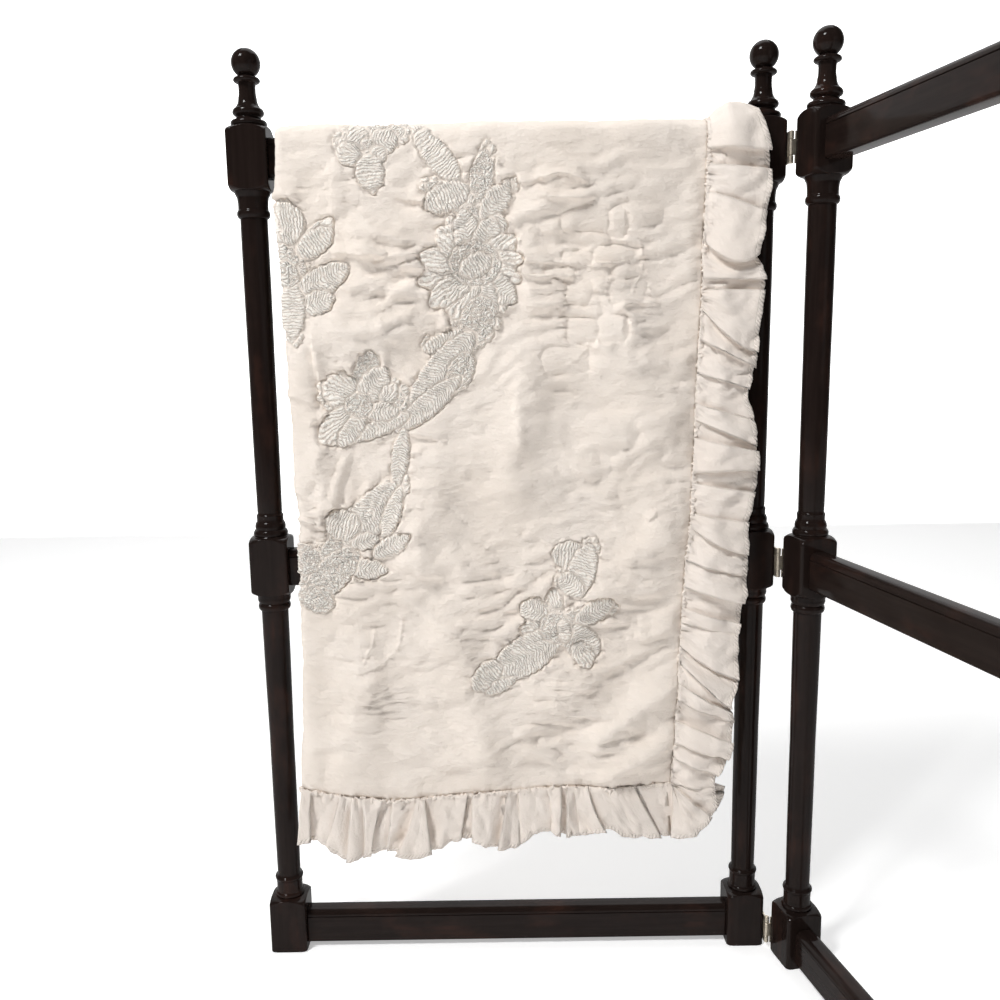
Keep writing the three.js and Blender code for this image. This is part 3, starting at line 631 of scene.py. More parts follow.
# Where the quilting draws the ground into puckers: x, z, reach in x and z, and height. The ground
# between lies smoother.
PUCKERED_GROUND = [
    (-20, 715, 80, 110, 1.0), (-115, 700, 60, 70, 0.75), (85, 700, 75, 85, 0.95), (20, 790, 90, 35, 0.8),
    (-120, 810, 60, 40, 0.5), (-145, 590, 65, 60, 0.8), (-155, 450, 75, 95, 1.0), (30, 370, 95, 85, 1.1),
    (-150, 290, 80, 70, 0.45), (100, 500, 90, 80, 0.6), (60, 240, 90, 50, 0.8),
]
PUCKER_LENGTH = 62.0
PUCKER_WIDTH = 13.5
CALM_HEIGHT = 0.5


def ground_height(x, z, a, v):
    """The unquilted ground: long soft puckers lying mostly level, with sharp creases between."""
    strength = np.full_like(x, CALM_HEIGHT)
    for cx, cz, rx, rz, rise in PUCKERED_GROUND:
        strength = np.maximum(strength, rise * np.exp(-((x - cx) / rx) ** 2 - ((z - cz) / rz) ** 2) + 0.3)
    bend = 14 * waves(a / 90, v / 90, 1) + 2.5 * waves(a / 30, v / 34, 2)
    lean = 0.16 * waves(a / 120, v / 120, 3) * a
    shift = 0.2 * waves(a / 20, v / 20, 4)
    first = np.abs(waves(a / PUCKER_LENGTH + shift, (v + bend + lean) / PUCKER_WIDTH, 5))
    second = np.abs(waves((a + bend) / 34, (v - lean - bend) / 17, 6))
    broad = waves(a / 62, v / 38, 7)
    fine = waves(a / 7, v / 5, 8)
    return strength * (8.5 * first**0.62 + 3.6 * second**0.8 - 3.0) + 3.0 * broad + 0.35 * fine * strength


def left_to_right(rows):
    """The same rows, each with its two ends in order of x."""
    return [row if row[0] <= row[2] else (*row[2:4], *row[:2], *row[4:]) for row in rows]


# Single creases, each a ridge with a gentle side and a steep one: from x, z to x, z, how far its middle
# bows up, the width of the gentle upper side and of the steep lower side, and its height. Among the last
# rows are thin ridges that run on from the small puffs and low on the left.
CREASES = left_to_right([
    (-219, 775, -194, 772, 3, 7, 1.6, 1.6), (-161, 804, -164, 746, 0, 6, 4, 1.6),
    (-154, 817, -155, 749, 0, 6, 4, 1.0), (-172, 795, -174, 753, 0, 6, 4, 0.8),
    (-163, 743, -73, 728, 2, 11, 4, 2.0), (-167, 724, -83, 721, -2, 8, 1.6, 2.2),
    (-123, 715, -81, 708, 1, 7, 1.8, 1.6), (-164, 692, -64, 680, 3, 14, 5, 2.6),
    (-82, 684, -63, 679, 0, 5, 1.6, 1.0), (-98, 832, -82, 824, 1, 5, 1.6, 1.2),
    (-85, 824, -83, 809, 0, 5, 1.6, 1.2), (-101, 773, -45, 755, 3, 8, 1.6, 1.8),
    (-16, 803, 10, 805, -1, 6, 2, 1.0), (-12, 788, 23, 784, -1, 7, 1.8, 1.8),
    (23, 784, 72, 784, 7, 10, 1.6, 2.6), (32, 772, 79, 768, -1, 8, 1.6, 1.8),
    (-1, 749, 39, 762, 0, 8, 3, 1.8), (7, 734, 27, 731, 0, 7, 2, 1.3), (12, 714, 73, 708, 1, 8, 1.4, 2.4),
    (10, 701, 68, 698, 0, 8, 1.4, 2.4), (12, 676, 57, 672, -1, 13, 4, 2.4),
    (103, 670, 144, 673, 3, 7, 2.5, 1.6), (36, 741, 66, 739, 3, 8, 3, 1.4),
    (83, 686, 116, 690, 0, 8, 3, 1.4), (-4, 395, 20, 401, 2, 10, 3, 2.0),
    (81, 392, 148, 390, 1, 12, 3, 3.2), (85, 361, 116, 361, 0, 8, 2, 1.8),
    (83, 364, 101, 385, 0, 5, 1.6, 1.2), (-19, 351, -19, 322, 0, 5, 1.6, 1.0),
    (-52, 295, -34, 299, 0, 6, 1.8, 1.2), (41, 313, 41, 275, 0, 5, 3, 1.0),
    (22, 310, 21, 282, 0, 5, 3, 0.8), (132, 465, 141, 474, 0, 4, 1.5, 0.9),
    (-187, 644, -180, 584, 0, 6, 1.5, 1.6), (-194, 562, -168, 576, 1, 6, 1.6, 1.6),
    (-188, 560, -182, 452, 0, 12, 6, 2.2), (-118, 637, -119, 605, 0, 5, 2, 1.2),
    (-118, 598, -104, 594, 0, 4, 1.5, 1.0), (-121, 665, -121, 643, 0, 8, 5, 1.3),
    (-63, 677, -63, 649, 0, 5, 1.6, 1.2), (-104, 552, -63, 545, 2, 7, 2, 1.6),
    (-37, 556, -27, 551, 0, 5, 1.6, 1.0), (-212, 593, -180, 582, -1, 8, 2.5, 1.4),
    (-207, 470, -185, 461, 1, 8, 1.8, 2.0), (-181, 481, -154, 478, 2, 6, 1.5, 1.4),
    (-123, 457, -87, 455, -1, 7, 1.5, 1.8), (-96, 413, -68, 415, -1, 9, 3, 1.5),
    (-167, 389, -135, 415, 0, 9, 5, 1.4), (7, 593, 8, 535, 0, 7, 4, 1.2),
    (78, 233, 165, 296, 4, 15, 6, 3.0), (88, 195, 162, 238, 3, 13, 5, 2.6),
    (47, 279, 128, 330, 2, 14, 7, 1.8), (-100, 535, -86, 535, 0, 4, 1.5, 0.8),
    (-99, 517, -85, 518, 0, 4, 1.5, 0.8), (-99, 499, -83, 501, 0, 4, 1.5, 0.8),
    (-103, 479, -85, 482, 0, 4, 1.5, 0.8), (-50, 516, 9, 523, 2, 12, 6, 1.4),
    (-71, 426, -12, 419, 2, 14, 7, 1.6), (-84, 344, -34, 314, 2, 12, 6, 1.4),
    (-95, 281, -44, 291, -2, 12, 6, 1.2), (-187, 293, -136, 281, 3, 10, 4, 1.2),
    (-210, 229, -168, 237, 3, 10, 5, 1.2), (-77, 205, -15, 228, 3, 13, 6, 1.8),
    (6, 234, 47, 205, 3, 12, 6, 1.4), (108, 423, 171, 435, 2, 12, 6, 1.6),
    (87, 553, 175, 562, 3, 16, 8, 1.6), (48, 515, 127, 494, 3, 16, 8, 1.4),
    (116, 620, 176, 608, 2, 13, 6, 1.5), (128, 341, 166, 359, 1, 12, 6, 1.8),
    (96, 823, 171, 813, 2, 14, 7, 1.0), (134, 732, 179, 733, 1, 10, 5, 1.2),
    (-61, 467, -42, 385, 0, 12, 8, 1.2), (108, 769, 109, 741, 0, 1.6, 1.4, 0.3),
    (122, 733, 127, 701, 2, 1.6, 1.4, 0.4), (127, 701, 117, 680, 2, 1.6, 1.4, 0.4),
    (108, 665, 107, 643, 0, 1.6, 1.4, 0.3), (57, 615, 78, 640, -2, 1.6, 1.4, 0.3),
    (-111, 370, -120, 332, -4, 1.5, 1.5, 0.6), (-120, 332, -159, 313, -4, 1.5, 1.5, 0.7),
    (-137, 358, -151, 322, -2, 1.6, 1.5, 0.6), (-159, 359, -127, 364, 2, 5, 1.6, 1.0),
    (-189, 350, -139, 344, 1, 6, 1.6, 1.2), (-188, 330, -150, 326, 0, 6, 1.8, 1.0),
    (-150, 300, -120, 296, 1, 6, 1.6, 1.0),
])
SHARP_STEEP_WIDTH = 1.5
HIGH_STEEP_WIDTH = 2.5
HIGH_CREASE = 1.4
CREASE_RISE = 2.5


def crease_distance(x, z, crease):
    """Share along a crease, and the signed distance from its bowed line, positive on its left."""
    x1, z1, x2, z2, bow = crease[:5]
    share, away, _ = line_distance(x, z, x1, z1, x2, z2)
    return share, away - bow * 4 * share * (1 - share)


def crease_height(x, z):
    height = np.zeros_like(x)
    for crease in CREASES:
        x1, z1, x2, z2, bow, soft, steep, rise = crease
        reach = 3 * soft + abs(bow)
        near = (x > x1 - reach) & (x < x2 + reach)
        near &= (z > min(z1, z2) - reach) & (z < max(z1, z2) + reach)
        share, away = crease_distance(x[near], z[near], crease)
        away = away + 1.2 * waves(x[near] / 13, z[near] / 13, 9)
        ends = smooth_step(-0.12, 0.2, share) * (1 - smooth_step(0.8, 1.12, share))
        height[near] += CREASE_RISE * rise * ends * np.exp(-((away / np.where(away > 0, soft, steep)) ** 2))
    return height


def sharply_creased(x, z):
    """Whether points lie on the steep side of a sharp crease."""
    sharp = np.zeros(len(x), bool)
    for crease in CREASES:
        steep, rise = crease[-2:]
        if steep <= SHARP_STEEP_WIDTH or (steep <= HIGH_STEEP_WIDTH and rise >= HIGH_CREASE):
            share, away = crease_distance(x, z, crease)
            sharp |= (share > -0.05) & (share < 1.05) & (away < 2.4) & (away > -2.8)
    return sharp


# Low square puffs in rows, quilted to the right of the big spray: x, z, width and height.
SMALL_PUFFS = [
    (73, 751, 42, 22), (103, 748, 18, 29), (65, 716, 28, 13), (100, 720, 40, 15), (50, 706, 28, 13),
    (80, 702, 31, 12), (112, 703, 31, 14), (67, 685, 24, 24), (113, 685, 35, 22), (71, 666, 37, 11),
    (70, 649, 31, 24), (99, 650, 26, 26), (55, 621, 44, 28),
]
PUFF_HEIGHT = 1.1
PUFF_GROOVE = 0.7


def small_puffs(x, z):
    """The puffs' height, how far they cover the ground, and whether a point lies at one's seam."""
    height = np.zeros_like(x)
    cover = np.zeros_like(x)
    seamed = np.zeros(len(x), bool)
    for cx, cz, width, tall in SMALL_PUFFS:
        u = np.abs(x - cx + 2.5 * waves(x / 15, z / 15, 24)) / (width / 2)
        w = np.abs(z - cz + 2.5 * waves(x / 15, z / 15, 25)) / (tall / 2)
        round_square = (u**4 + w**4) ** 0.25
        height += PUFF_HEIGHT * (1 - smooth_step(0.45, 1.0, round_square))
        height -= PUFF_GROOVE * np.exp(-(((round_square - 1.03) / 0.08) ** 2))
        cover = np.maximum(cover, 1 - smooth_step(0.95, 1.3, round_square))
        seamed |= (round_square > 0.85) & (round_square < 1.2)
    return height, cover, seamed


# The quilted sprays, petal by petal and leaf by leaf: base x, z, tip x, z, width, how pointed the
# shape is, and how it is filled: rib is stitched ribs across, vein is slanting ribs off a middle line,
# fan is ribs spreading from the base and stipple is close crinkles. A later petal lies over the
# earlier ones.
PETALS = [
    (-143, 817, -154, 826, 28, 0.0, "fan"), (-140, 819, -133, 840, 24, 0.0, "rib"),
    (-130, 817, -144, 838, 22, 0.0, "rib"), (-128, 819, -101, 827, 24, 0.0, "vein"),
    (-125, 817, -112, 808, 19, 0.2, "vein"), (-134, 810, -158, 816, 22, 0.0, "fan"),
    (-128, 813, -126, 780, 28, 0.0, "rib"), (-134, 823, -123, 823, 15, 0.0, "stipple"),
    (-231, 750, -189, 753, 41, 0.0, "rib"), (-200, 717, -163, 756, 23, 0.1, "fan"),
    (-198, 722, -163, 746, 24, 0.3, "rib"), (-232, 726, -197, 717, 25, 0.0, "stipple"),
    (-202, 685, -150, 712, 27, 0.0, "vein"), (-197, 674, -164, 683, 23, 0.4, "vein"),
    (-204, 698, -204, 645, 24, 0.0, "rib"), (-227, 712, -197, 700, 25, 0.0, "stipple"),
    (-83, 832, -44, 787, 25, 0.0, "rib"), (-34, 782, -78, 764, 28, 0.3, "rib"),
    (-27, 767, -19, 816, 24, 0.9, "stipple"), (-24, 751, 3, 785, 24, 0.8, "vein"),
    (-7, 758, -13, 734, 21, 0.2, "vein"), (-30, 709, -85, 695, 26, 0.0, "fan"),
    (-30, 709, -83, 719, 26, 0.0, "fan"), (-30, 709, -65, 746, 28, 0.0, "fan"),
    (-30, 709, -42, 762, 27, 0.0, "vein"), (-30, 709, -12, 754, 27, 0.0, "vein"),
    (-30, 709, 8, 737, 25, 0.0, "fan"), (-30, 709, 15, 717, 21, 0.0, "fan"),
    (-30, 709, 13, 697, 21, 0.0, "fan"), (-30, 707, 7, 676, 27, 0.0, "vein"),
    (-30, 707, -18, 658, 28, 0.0, "vein"), (-30, 707, -54, 662, 28, 0.0, "fan"),
    (-30, 707, -75, 674, 25, 0.0, "fan"), (-55, 715, -6, 710, 42, 0.0, "stipple"),
    (-45, 703, -15, 718, 23, 0.2, "rib"), (-21, 682, -37, 638, 34, 0.1, "stipple"),
    (-31, 647, -83, 633, 21, 0.2, "rib"), (-33, 649, -96, 577, 33, 0.3, "vein"),
    (-37, 630, -56, 592, 25, 0.2, "stipple"), (-46, 607, -111, 554, 23, 0.3, "vein"),
    (-95, 572, -156, 547, 17, 0.2, "vein"), (-145, 584, -131, 633, 26, 0.0, "stipple"),
    (-141, 586, -179, 602, 35, 0.0, "fan"), (-143, 578, -185, 546, 31, 0.1, "fan"),
    (-145, 582, -117, 616, 27, 0.0, "vein"), (-122, 582, -109, 601, 17, 0.0, "fan"),
    (-143, 576, -106, 574, 19, 0.3, "vein"), (-139, 574, -166, 541, 19, 0.1, "vein"),
    (-159, 582, -131, 580, 25, 0.0, "stipple"), (-102, 558, -112, 501, 18, 0.0, "vein"),
    (-112, 505, -164, 442, 37, 0.3, "vein"), (-107, 501, -126, 447, 18, 0.4, "vein"),
    (-148, 458, -183, 470, 32, 0.0, "rib"), (-139, 431, -98, 455, 20, 0.9, "vein"),
    (-167, 422, -122, 418, 22, 0.5, "vein"), (-152, 440, -206, 387, 34, 0.1, "stipple"),
    (-158, 444, -130, 451, 18, 0.3, "vein"), (-222, 433, -189, 428, 40, 0.0, "stipple"),
    (-212, 396, -177, 383, 28, 0.0, "stipple"), (76, 428, 39, 432, 30, 0.4, "rib"),
    (60, 387, 78, 442, 28, 0.2, "rib"), (70, 393, 46, 410, 22, 0.0, "vein"),
    (44, 377, 40, 398, 17, 0.0, "fan"), (34, 367, 8, 382, 25, 0.0, "vein"),
    (31, 353, 7, 357, 20, 0.0, "fan"), (62, 363, 100, 386, 23, 0.4, "vein"),
    (48, 357, 86, 329, 34, 0.0, "vein"), (62, 342, 78, 316, 22, 0.0, "fan"),
    (50, 352, -24, 305, 40, 0.4, "vein"), (-13, 322, -40, 295, 26, 0.2, "rib"),
    (3, 305, -28, 290, 14, 0.5, "rib"), (27, 361, 60, 354, 34, 0.0, "stipple"),
    (50, 367, 53, 342, 14, 0.0, "rib"),
]
# The bodies of the sprays, which lie under the petals: from x, z to x, z, width, and the size of the
# scallops round it.
SPRAY_BODIES = [
    (-143, 826, -104, 832, 28, 13), (-128, 810, -126, 788, 16, 11), (-208, 762, -206, 735, 20, 10),
    (-205, 728, -202, 682, 32, 13), (-203, 690, -203, 650, 16, 10), (-78, 830, -50, 795, 13, 9),
    (-70, 783, -42, 775, 18, 10), (-22, 775, -18, 812, 14, 9), (-14, 758, 2, 780, 16, 9),
    (-31, 742, -31, 672, 62, 17), (-34, 688, -34, 652, 34, 13), (-74, 640, -50, 646, 14, 9),
    (-40, 655, -62, 612, 22, 12), (-62, 622, -98, 572, 18, 11), (-160, 592, -120, 588, 46, 15),
    (-134, 620, -128, 606, 22, 11), (-102, 560, -106, 508, 9, 8), (-112, 500, -150, 462, 24, 12),
    (-150, 470, -188, 420, 30, 13), (-198, 420, -204, 398, 18, 10), (52, 405, 76, 436, 20, 11),
    (30, 372, 62, 352, 34, 13), (46, 366, 92, 376, 18, 10), (40, 350, -22, 306, 20, 11),
]
BACK_PATTERN_SHIFT = 60.0
RIB_PITCH = 2.9
STITCH_GROOVE = 1.3
PETAL_PUFF = 2.3
SCALLOP_SPACING = 0.92
LEAST_SCALLOPED_WIDTH = 12


def scalloped_bodies():
    """Each body of a spray as petals: a ring of small ones round its border, then the body over them."""
    petals = []
    for x1, z1, x2, z2, width, scallop in SPRAY_BODIES:
        length = math.hypot(x2 - x1, z2 - z1)
        along = np.array([x2 - x1, z2 - z1]) / length
        across = np.array([-along[1], along[0]])
        middle = np.array([x1 + x2, z1 + z2]) / 2
        half_length, half_width = (length + width) / 2, width / 2
        count = max(6, round(math.pi * (half_length + half_width) / (SCALLOP_SPACING * scallop)))
        for k in range(count if width > LEAST_SCALLOPED_WIDTH else 0):
            angle = 2 * math.pi * (k + random.uniform(-0.12, 0.12)) / count
            border = half_length * math.cos(angle) * along + half_width * math.sin(angle) * across
            start = middle + border * (1 - 0.9 * scallop / (half_length + half_width))
            end = middle + border * (1 + 0.15 * scallop / half_width)
            petals.append((*start, *end, scallop * random.uniform(0.95, 1.2), 0.0, "fan"))
        reach = 0.9 * half_length * along
        petals.append((*(middle - reach), *(middle + reach), 0.9 * width, 0.0, "stipple"))
    return petals


def petal_distance(x, z, petal):
    """Distance inside a petal's outline, negative outside, with its own coordinates along and across."""
    x1, z1, x2, z2, width, point, _ = petal
    share, across, length = line_distance(x, z, x1, z1, x2, z2)
    along = (share - 0.5) * length
    half_length, half_width = length / 2, min(width, 0.98 * length) / 2
    k0 = np.hypot(along / half_length, across / half_width)
    k1 = np.hypot(along / half_length**2, across / half_width**2)
    oval = -k0 * (k0 - 1) / np.maximum(k1, 1e-6)
    radius = (half_length**2 + half_width**2) / (2 * half_width)
    lens = radius - np.hypot(along, np.abs(across) + radius - half_width)
    return (1 - point) * oval + point * lens, along + half_length, across, length


ALL_PETALS = scalloped_bodies() + PETALS


def spray_heights(x, z):
    """The sprays' height with its weight, what the stitching over them follows (the ribs' phase, and how
    far ribs and dots show), and the distance inside the nearest outline."""
    height, weight, phase, ribs, dots, body = (np.zeros_like(x) for _ in range(6))
    outline = np.full_like(x, -9.0)
    for petal in ALL_PETALS:
        x1, z1, x2, z2, width, _, fill = petal
        reach = math.hypot(x2 - x1, z2 - z1) / 2 + width / 2 + 4
        near = np.nonzero((np.abs(x - (x1 + x2) / 2) < reach) & (np.abs(z - (z1 + z2) / 2) < reach))[0]
        px, pz = x[near], z[near]
        inside, along, across, length = petal_distance(px, pz, petal)
        turn = np.arctan2(across, along - length / 2)
        scallops = max(4, round((length + width) / 7.5))
        wobble = 0.6 * waves(px / 9, pz / 9, 10)
        inside = inside + wobble + 1.3 * (np.abs(np.cos(turn * scallops / 2)) - 0.6)
        keep = inside > -4
        near, px, pz, inside, along, across = (row[keep] for row in (near, px, pz, inside, along, across))
        puff = PETAL_PUFF * (1 - np.exp(-np.maximum(inside, 0) / 1.5))
        if fill == "stipple":
            puff = puff * (1 - 0.62 * smooth_step(1.5, 4.0, inside))
            rib_phase, rib_share, dot_share = along * 0, 0.0, 1.0
        else:
            puff = puff * (1 - 0.35 * smooth_step(3.0, 7.0, inside))
            fan = 0.62 * length * np.arctan2(across, along + 0.15 * length)
            rib_place = {"rib": along, "vein": along - 0.5 * np.abs(across), "fan": fan}[fill]
            rib_phase = rib_place / RIB_PITCH + 0.7 * waves(px / 13, pz / 13, 19)
            rib_share, dot_share = 1.0, 0.0
        deep = STITCH_GROOVE * (1 - 0.75 * weight[near])
        puff = np.maximum(puff, 0.8 * body[near])
        groove = -deep * np.exp(-(inside**2))
        cover = smooth_step(-1.4, -0.2, inside)
        body[near] = body[near] * (1 - cover) + puff * cover
        shown = smooth_step(0.3, 1.5, inside)
        texture = 0.9 * np.abs(np.sin(math.pi * rib_phase)) * rib_share
        texture = texture + 1.5 * np.abs(waves(px / 3.9, pz / 3.3, 20)) * (0.15 + 0.85 * dot_share)
        height[near] = height[near] * (1 - cover) + (puff + texture * shown + groove) * cover
        weight[near] = np.maximum(weight[near], cover)
        phase[near[inside > 0]] = rib_phase[inside > 0]
        ribs[near] = ribs[near] * (1 - cover) + rib_share * shown
        dots[near] = dots[near] * (1 - cover) + dot_share * shown
        outline[near] = np.where(inside > -0.4, inside, np.maximum(outline[near], inside))
    return height, weight, np.stack([phase, ribs, dots], axis=-1), outline


def seam_height(a, v):
    """The quilt sinks beside its seam, and the ruffle's gathers pull small tucks into it."""
    edge = np.minimum(np.minimum(a, v), CLOTH_ALONG - v)
    run = np.where(a < v, v, a)
    tucks = 2.6 * waves(run / 7.5 + 0.3 * waves(run / 20, edge / 9, 22), edge / 22, 11) * np.exp(-edge / 15)
    return tucks - 1.0 * np.exp(-((edge / 3.0) ** 2)), smooth_step(1.0, 12.0, edge)


def pattern_place(a, v):
    """Where a point's quilted pattern is drawn, x and z. The back drop repeats the front's."""
    point, _, _ = cloth_point(a, v)
    past = v - BEND_START
    over_bend = np.where(past > 0, BEND_CENTRE_Z + past, point[:, 2])
    on_back = v > (BEND_START + BEND_END) / 2
    return point[:, 0], np.where(on_back, point[:, 2] + BACK_PATTERN_SHIFT, over_bend)


HEIGHT_LIMITS = (-1.3, 9.0)


def quilt_surface(a, v):
    """Height of the quilt's right side over its plain surface, and what its stitching follows."""
    x, z = pattern_place(a, v)
    shown = (a < LAYER_WIDTH + FOLD_WIDTH).astype(float)
    puffs, puffed, _ = small_puffs(x, z)
    ground = ground_height(x, z, a, v) * (1 - 0.7 * puffed)
    single = crease_height(x, z) * (v < BEND_START + 10) + puffs
    spray, cover, stitch, _ = spray_heights(x, z)
    cover = cover * shown
    near_fold = smooth_step(-2.0, 16.0, np.abs(a - LAYER_WIDTH - FOLD_WIDTH / 2))
    rough = (ground * (0.25 + 0.75 * near_fold) + single * shown) * (1 - 0.72 * cover)
    seam, away_from_seam = seam_height(a, v)
    height = rough * away_from_seam + spray * cover + seam
    bend_calm = 1 - 0.5 * np.exp(-(((v - (BEND_START + BEND_END) / 2) / 40) ** 2))
    stitch[:, 1:] *= shown[:, None]
    return np.clip(height * bend_calm, *HEIGHT_LIMITS), stitch


# The mesh: a lattice of small cells that are joined by threes into larger ones where nothing is
# stitched, and again on the inner layer.
CELLS_ACROSS = (351, 9, 351)
CELLS_ALONG = (567, 45, 216)
BLOCK = 9
JOINED = 3
STITCHED_MARGIN = 2.5
INNER_STEPS_ACROSS = (13, 3, 13)
INNER_STEPS_ALONG = (9, 3, 9)


def lattice_lines(lengths, counts):
    lines = [np.array([0.0])]
    start = 0.0
    for length, count in zip(lengths, counts):
        lines.append(start + length * np.arange(1, count + 1) / count)
        start += length
    return np.concatenate(lines)


def cell_squares(lattice_a, lattice_v):
    """The cells as lattice squares: row, column and size."""
    squares, places = [], []
    for row in range(0, len(lattice_v) - 1, BLOCK):
        for column in range(0, len(lattice_a) - 1, BLOCK):
            if column >= sum(CELLS_ACROSS[:2]):
                squares.append((row, column, BLOCK))
                continue
            steps = range(0, BLOCK, JOINED)
            places.extend((row + k, column + m) for k in steps for m in steps)
    rows, columns = np.array(places).T
    v = (lattice_v[rows] + lattice_v[rows + JOINED]) / 2
    x, z = pattern_place((lattice_a[columns] + lattice_a[columns + JOINED]) / 2, v)
    is_fine = (spray_heights(x, z)[3] > -STITCHED_MARGIN) | sharply_creased(x, z)
    is_fine |= small_puffs(x, z)[2] & (v < BEND_START)
    is_fine &= v < BEND_END
    for (i, j), fine in zip(places, is_fine):
        if fine:
            squares.extend((i + k, j + m, 1) for k in range(JOINED) for m in range(JOINED))
        else:
            squares.append((i, j, JOINED))
    return squares


def square_faces(squares, shape):
    """Faces with a corner wherever a smaller neighbour has one, and the number of each point in use."""
    used = np.zeros(shape, bool)
    for row, column, size in squares:
        used[row : row + size + 1 : size, column : column + size + 1 : size] = True
    number = np.full(shape, -1)
    number[used] = np.arange(used.sum())
    faces = []
    for row, column, size in squares:
        steps = range(size)
        ring = [(row, column + k) for k in steps] + [(row + k, column + size) for k in steps]
        ring += [(row + size, column + size - k) for k in steps]
        ring += [(row + size - k, column) for k in steps]
        faces.append([number[spot] for spot in reversed(ring) if used[spot]])
    return faces, number


def border_walk(number, lines_a, lines_v):
    """The numbered points round the border, once, from the first corner, each with its a and v."""
    rows, columns = number.shape
    ring = [(0, j) for j in range(columns - 1)] + [(i, columns - 1) for i in range(rows - 1)]
    ring += [(rows - 1, j) for j in range(columns - 1, 0, -1)] + [(i, 0) for i in range(rows - 1, 0, -1)]
    return [(number[i, j], lines_a[j], lines_v[i]) for i, j in ring if number[i, j] >= 0]


def inner_lines(lines, counts, steps):
    """The few of the lattice's lines that the plain wrong side of the cloth needs."""
    starts = (0, counts[0], counts[0] + counts[1])
    chosen = [start + np.arange(0, count + 1, step) for start, count, step in zip(starts, counts, steps)]
    return lines[np.unique(np.concatenate(chosen))]


def quilt_mesh():
    lattice_a = lattice_lines((LAYER_WIDTH, FOLD_WIDTH, LAYER_WIDTH), CELLS_ACROSS)
    lattice_v = lattice_lines((FRONT_DROP, 2 * QUARTER_BEND + BEND_TOP, BACK_DROP), CELLS_ALONG)
    faces, number = square_faces(cell_squares(lattice_a, lattice_v), (len(lattice_v), len(lattice_a)))
    rows, columns = np.nonzero(number >= 0)
    a, v = lattice_a[columns], lattice_v[rows]
    point, _, right_side = cloth_point(a, v)
    height, stitch = quilt_surface(a, v)
    front = point + right_side * (CLOTH_THICKNESS / 2 + height)[:, None]
    inner_a = inner_lines(lattice_a, CELLS_ACROSS, INNER_STEPS_ACROSS)
    inner_v = inner_lines(lattice_v, CELLS_ALONG, INNER_STEPS_ALONG)
    back_a, back_v = (grid.ravel() for grid in np.meshgrid(inner_a, inner_v))
    point, _, right_side = cloth_point(back_a, back_v)
    back = point - right_side * CLOTH_THICKNESS / 2
    back_number = (len(front) + np.arange(len(back))).reshape(len(inner_v), len(inner_a))
    outer = border_walk(number, lattice_a, lattice_v)
    inner = border_walk(back_number, inner_a, inner_v)
    faces = faces + grid_faces(back_number) + rim_faces(outer, inner)
    flat_a, flat_v = np.concatenate([a, back_a]), np.concatenate([v, back_v])
    flat = np.stack([flat_a, flat_v, 0 * flat_a], axis=-1)
    stitch = np.concatenate([stitch, np.zeros((len(back), 3))])
    return np.concatenate([front, back]), faces, {"flat": flat, "stitch": stitch}


def rim_faces(outer, inner):
    """Triangles that join two loops of border points, by how far round the border each point is."""

    def travelled(loop):
        distance, total = [], 0.0
        for (_, a0, v0), (_, a1, v1) in zip(loop, loop[1:] + loop[:1]):
            distance.append(total)
            total += abs(a1 - a0) + abs(v1 - v0)
        return distance + [total]

    outer_at, inner_at = travelled(outer), travelled(inner)
    faces = []
    i = j = 0
    while i < len(outer) or j < len(inner):
        next_i, next_j = (i + 1) % len(outer), (j + 1) % len(inner)
        step_outer = j >= len(inner) or (i < len(outer) and outer_at[i + 1] <= inner_at[j + 1])
        if step_outer:
            faces.append((outer[i % len(outer)][0], outer[next_i][0], inner[j % len(inner)][0]))
            i += 1
        else:
            faces.append((outer[i % len(outer)][0], inner[next_j][0], inner[j % len(inner)][0]))
            j += 1
    return faces


COTTON_SHEEN = {"IOR": 1.4, "Sheen_Weight": 0.12, "Sheen_Roughness": 0.5}


def cotton_weave(flat, colours, weave_scale, crinkle_scale, cloud_scale, crinkle_depth):
    """Faintly clouded colour, roughness and height of plain crinkled cotton, over its flat cloth."""
    weave = noise(flat, weave_scale, 2.0, 0.7)
    crinkle = noise(flat, crinkle_scale, 4.0, 0.6)
    colour = colour_mix(noise(flat, cloud_scale, 3.0).between(0.3, 0.7), *colours)
    return colour, 0.82 + 0.12 * crinkle, 0.00011 * weave + crinkle_depth * crinkle


def vector_part(vector, axis):
    return add_node(vector.tree, "ShaderNodeSeparateXYZ", {}, {0: vector}, axis)


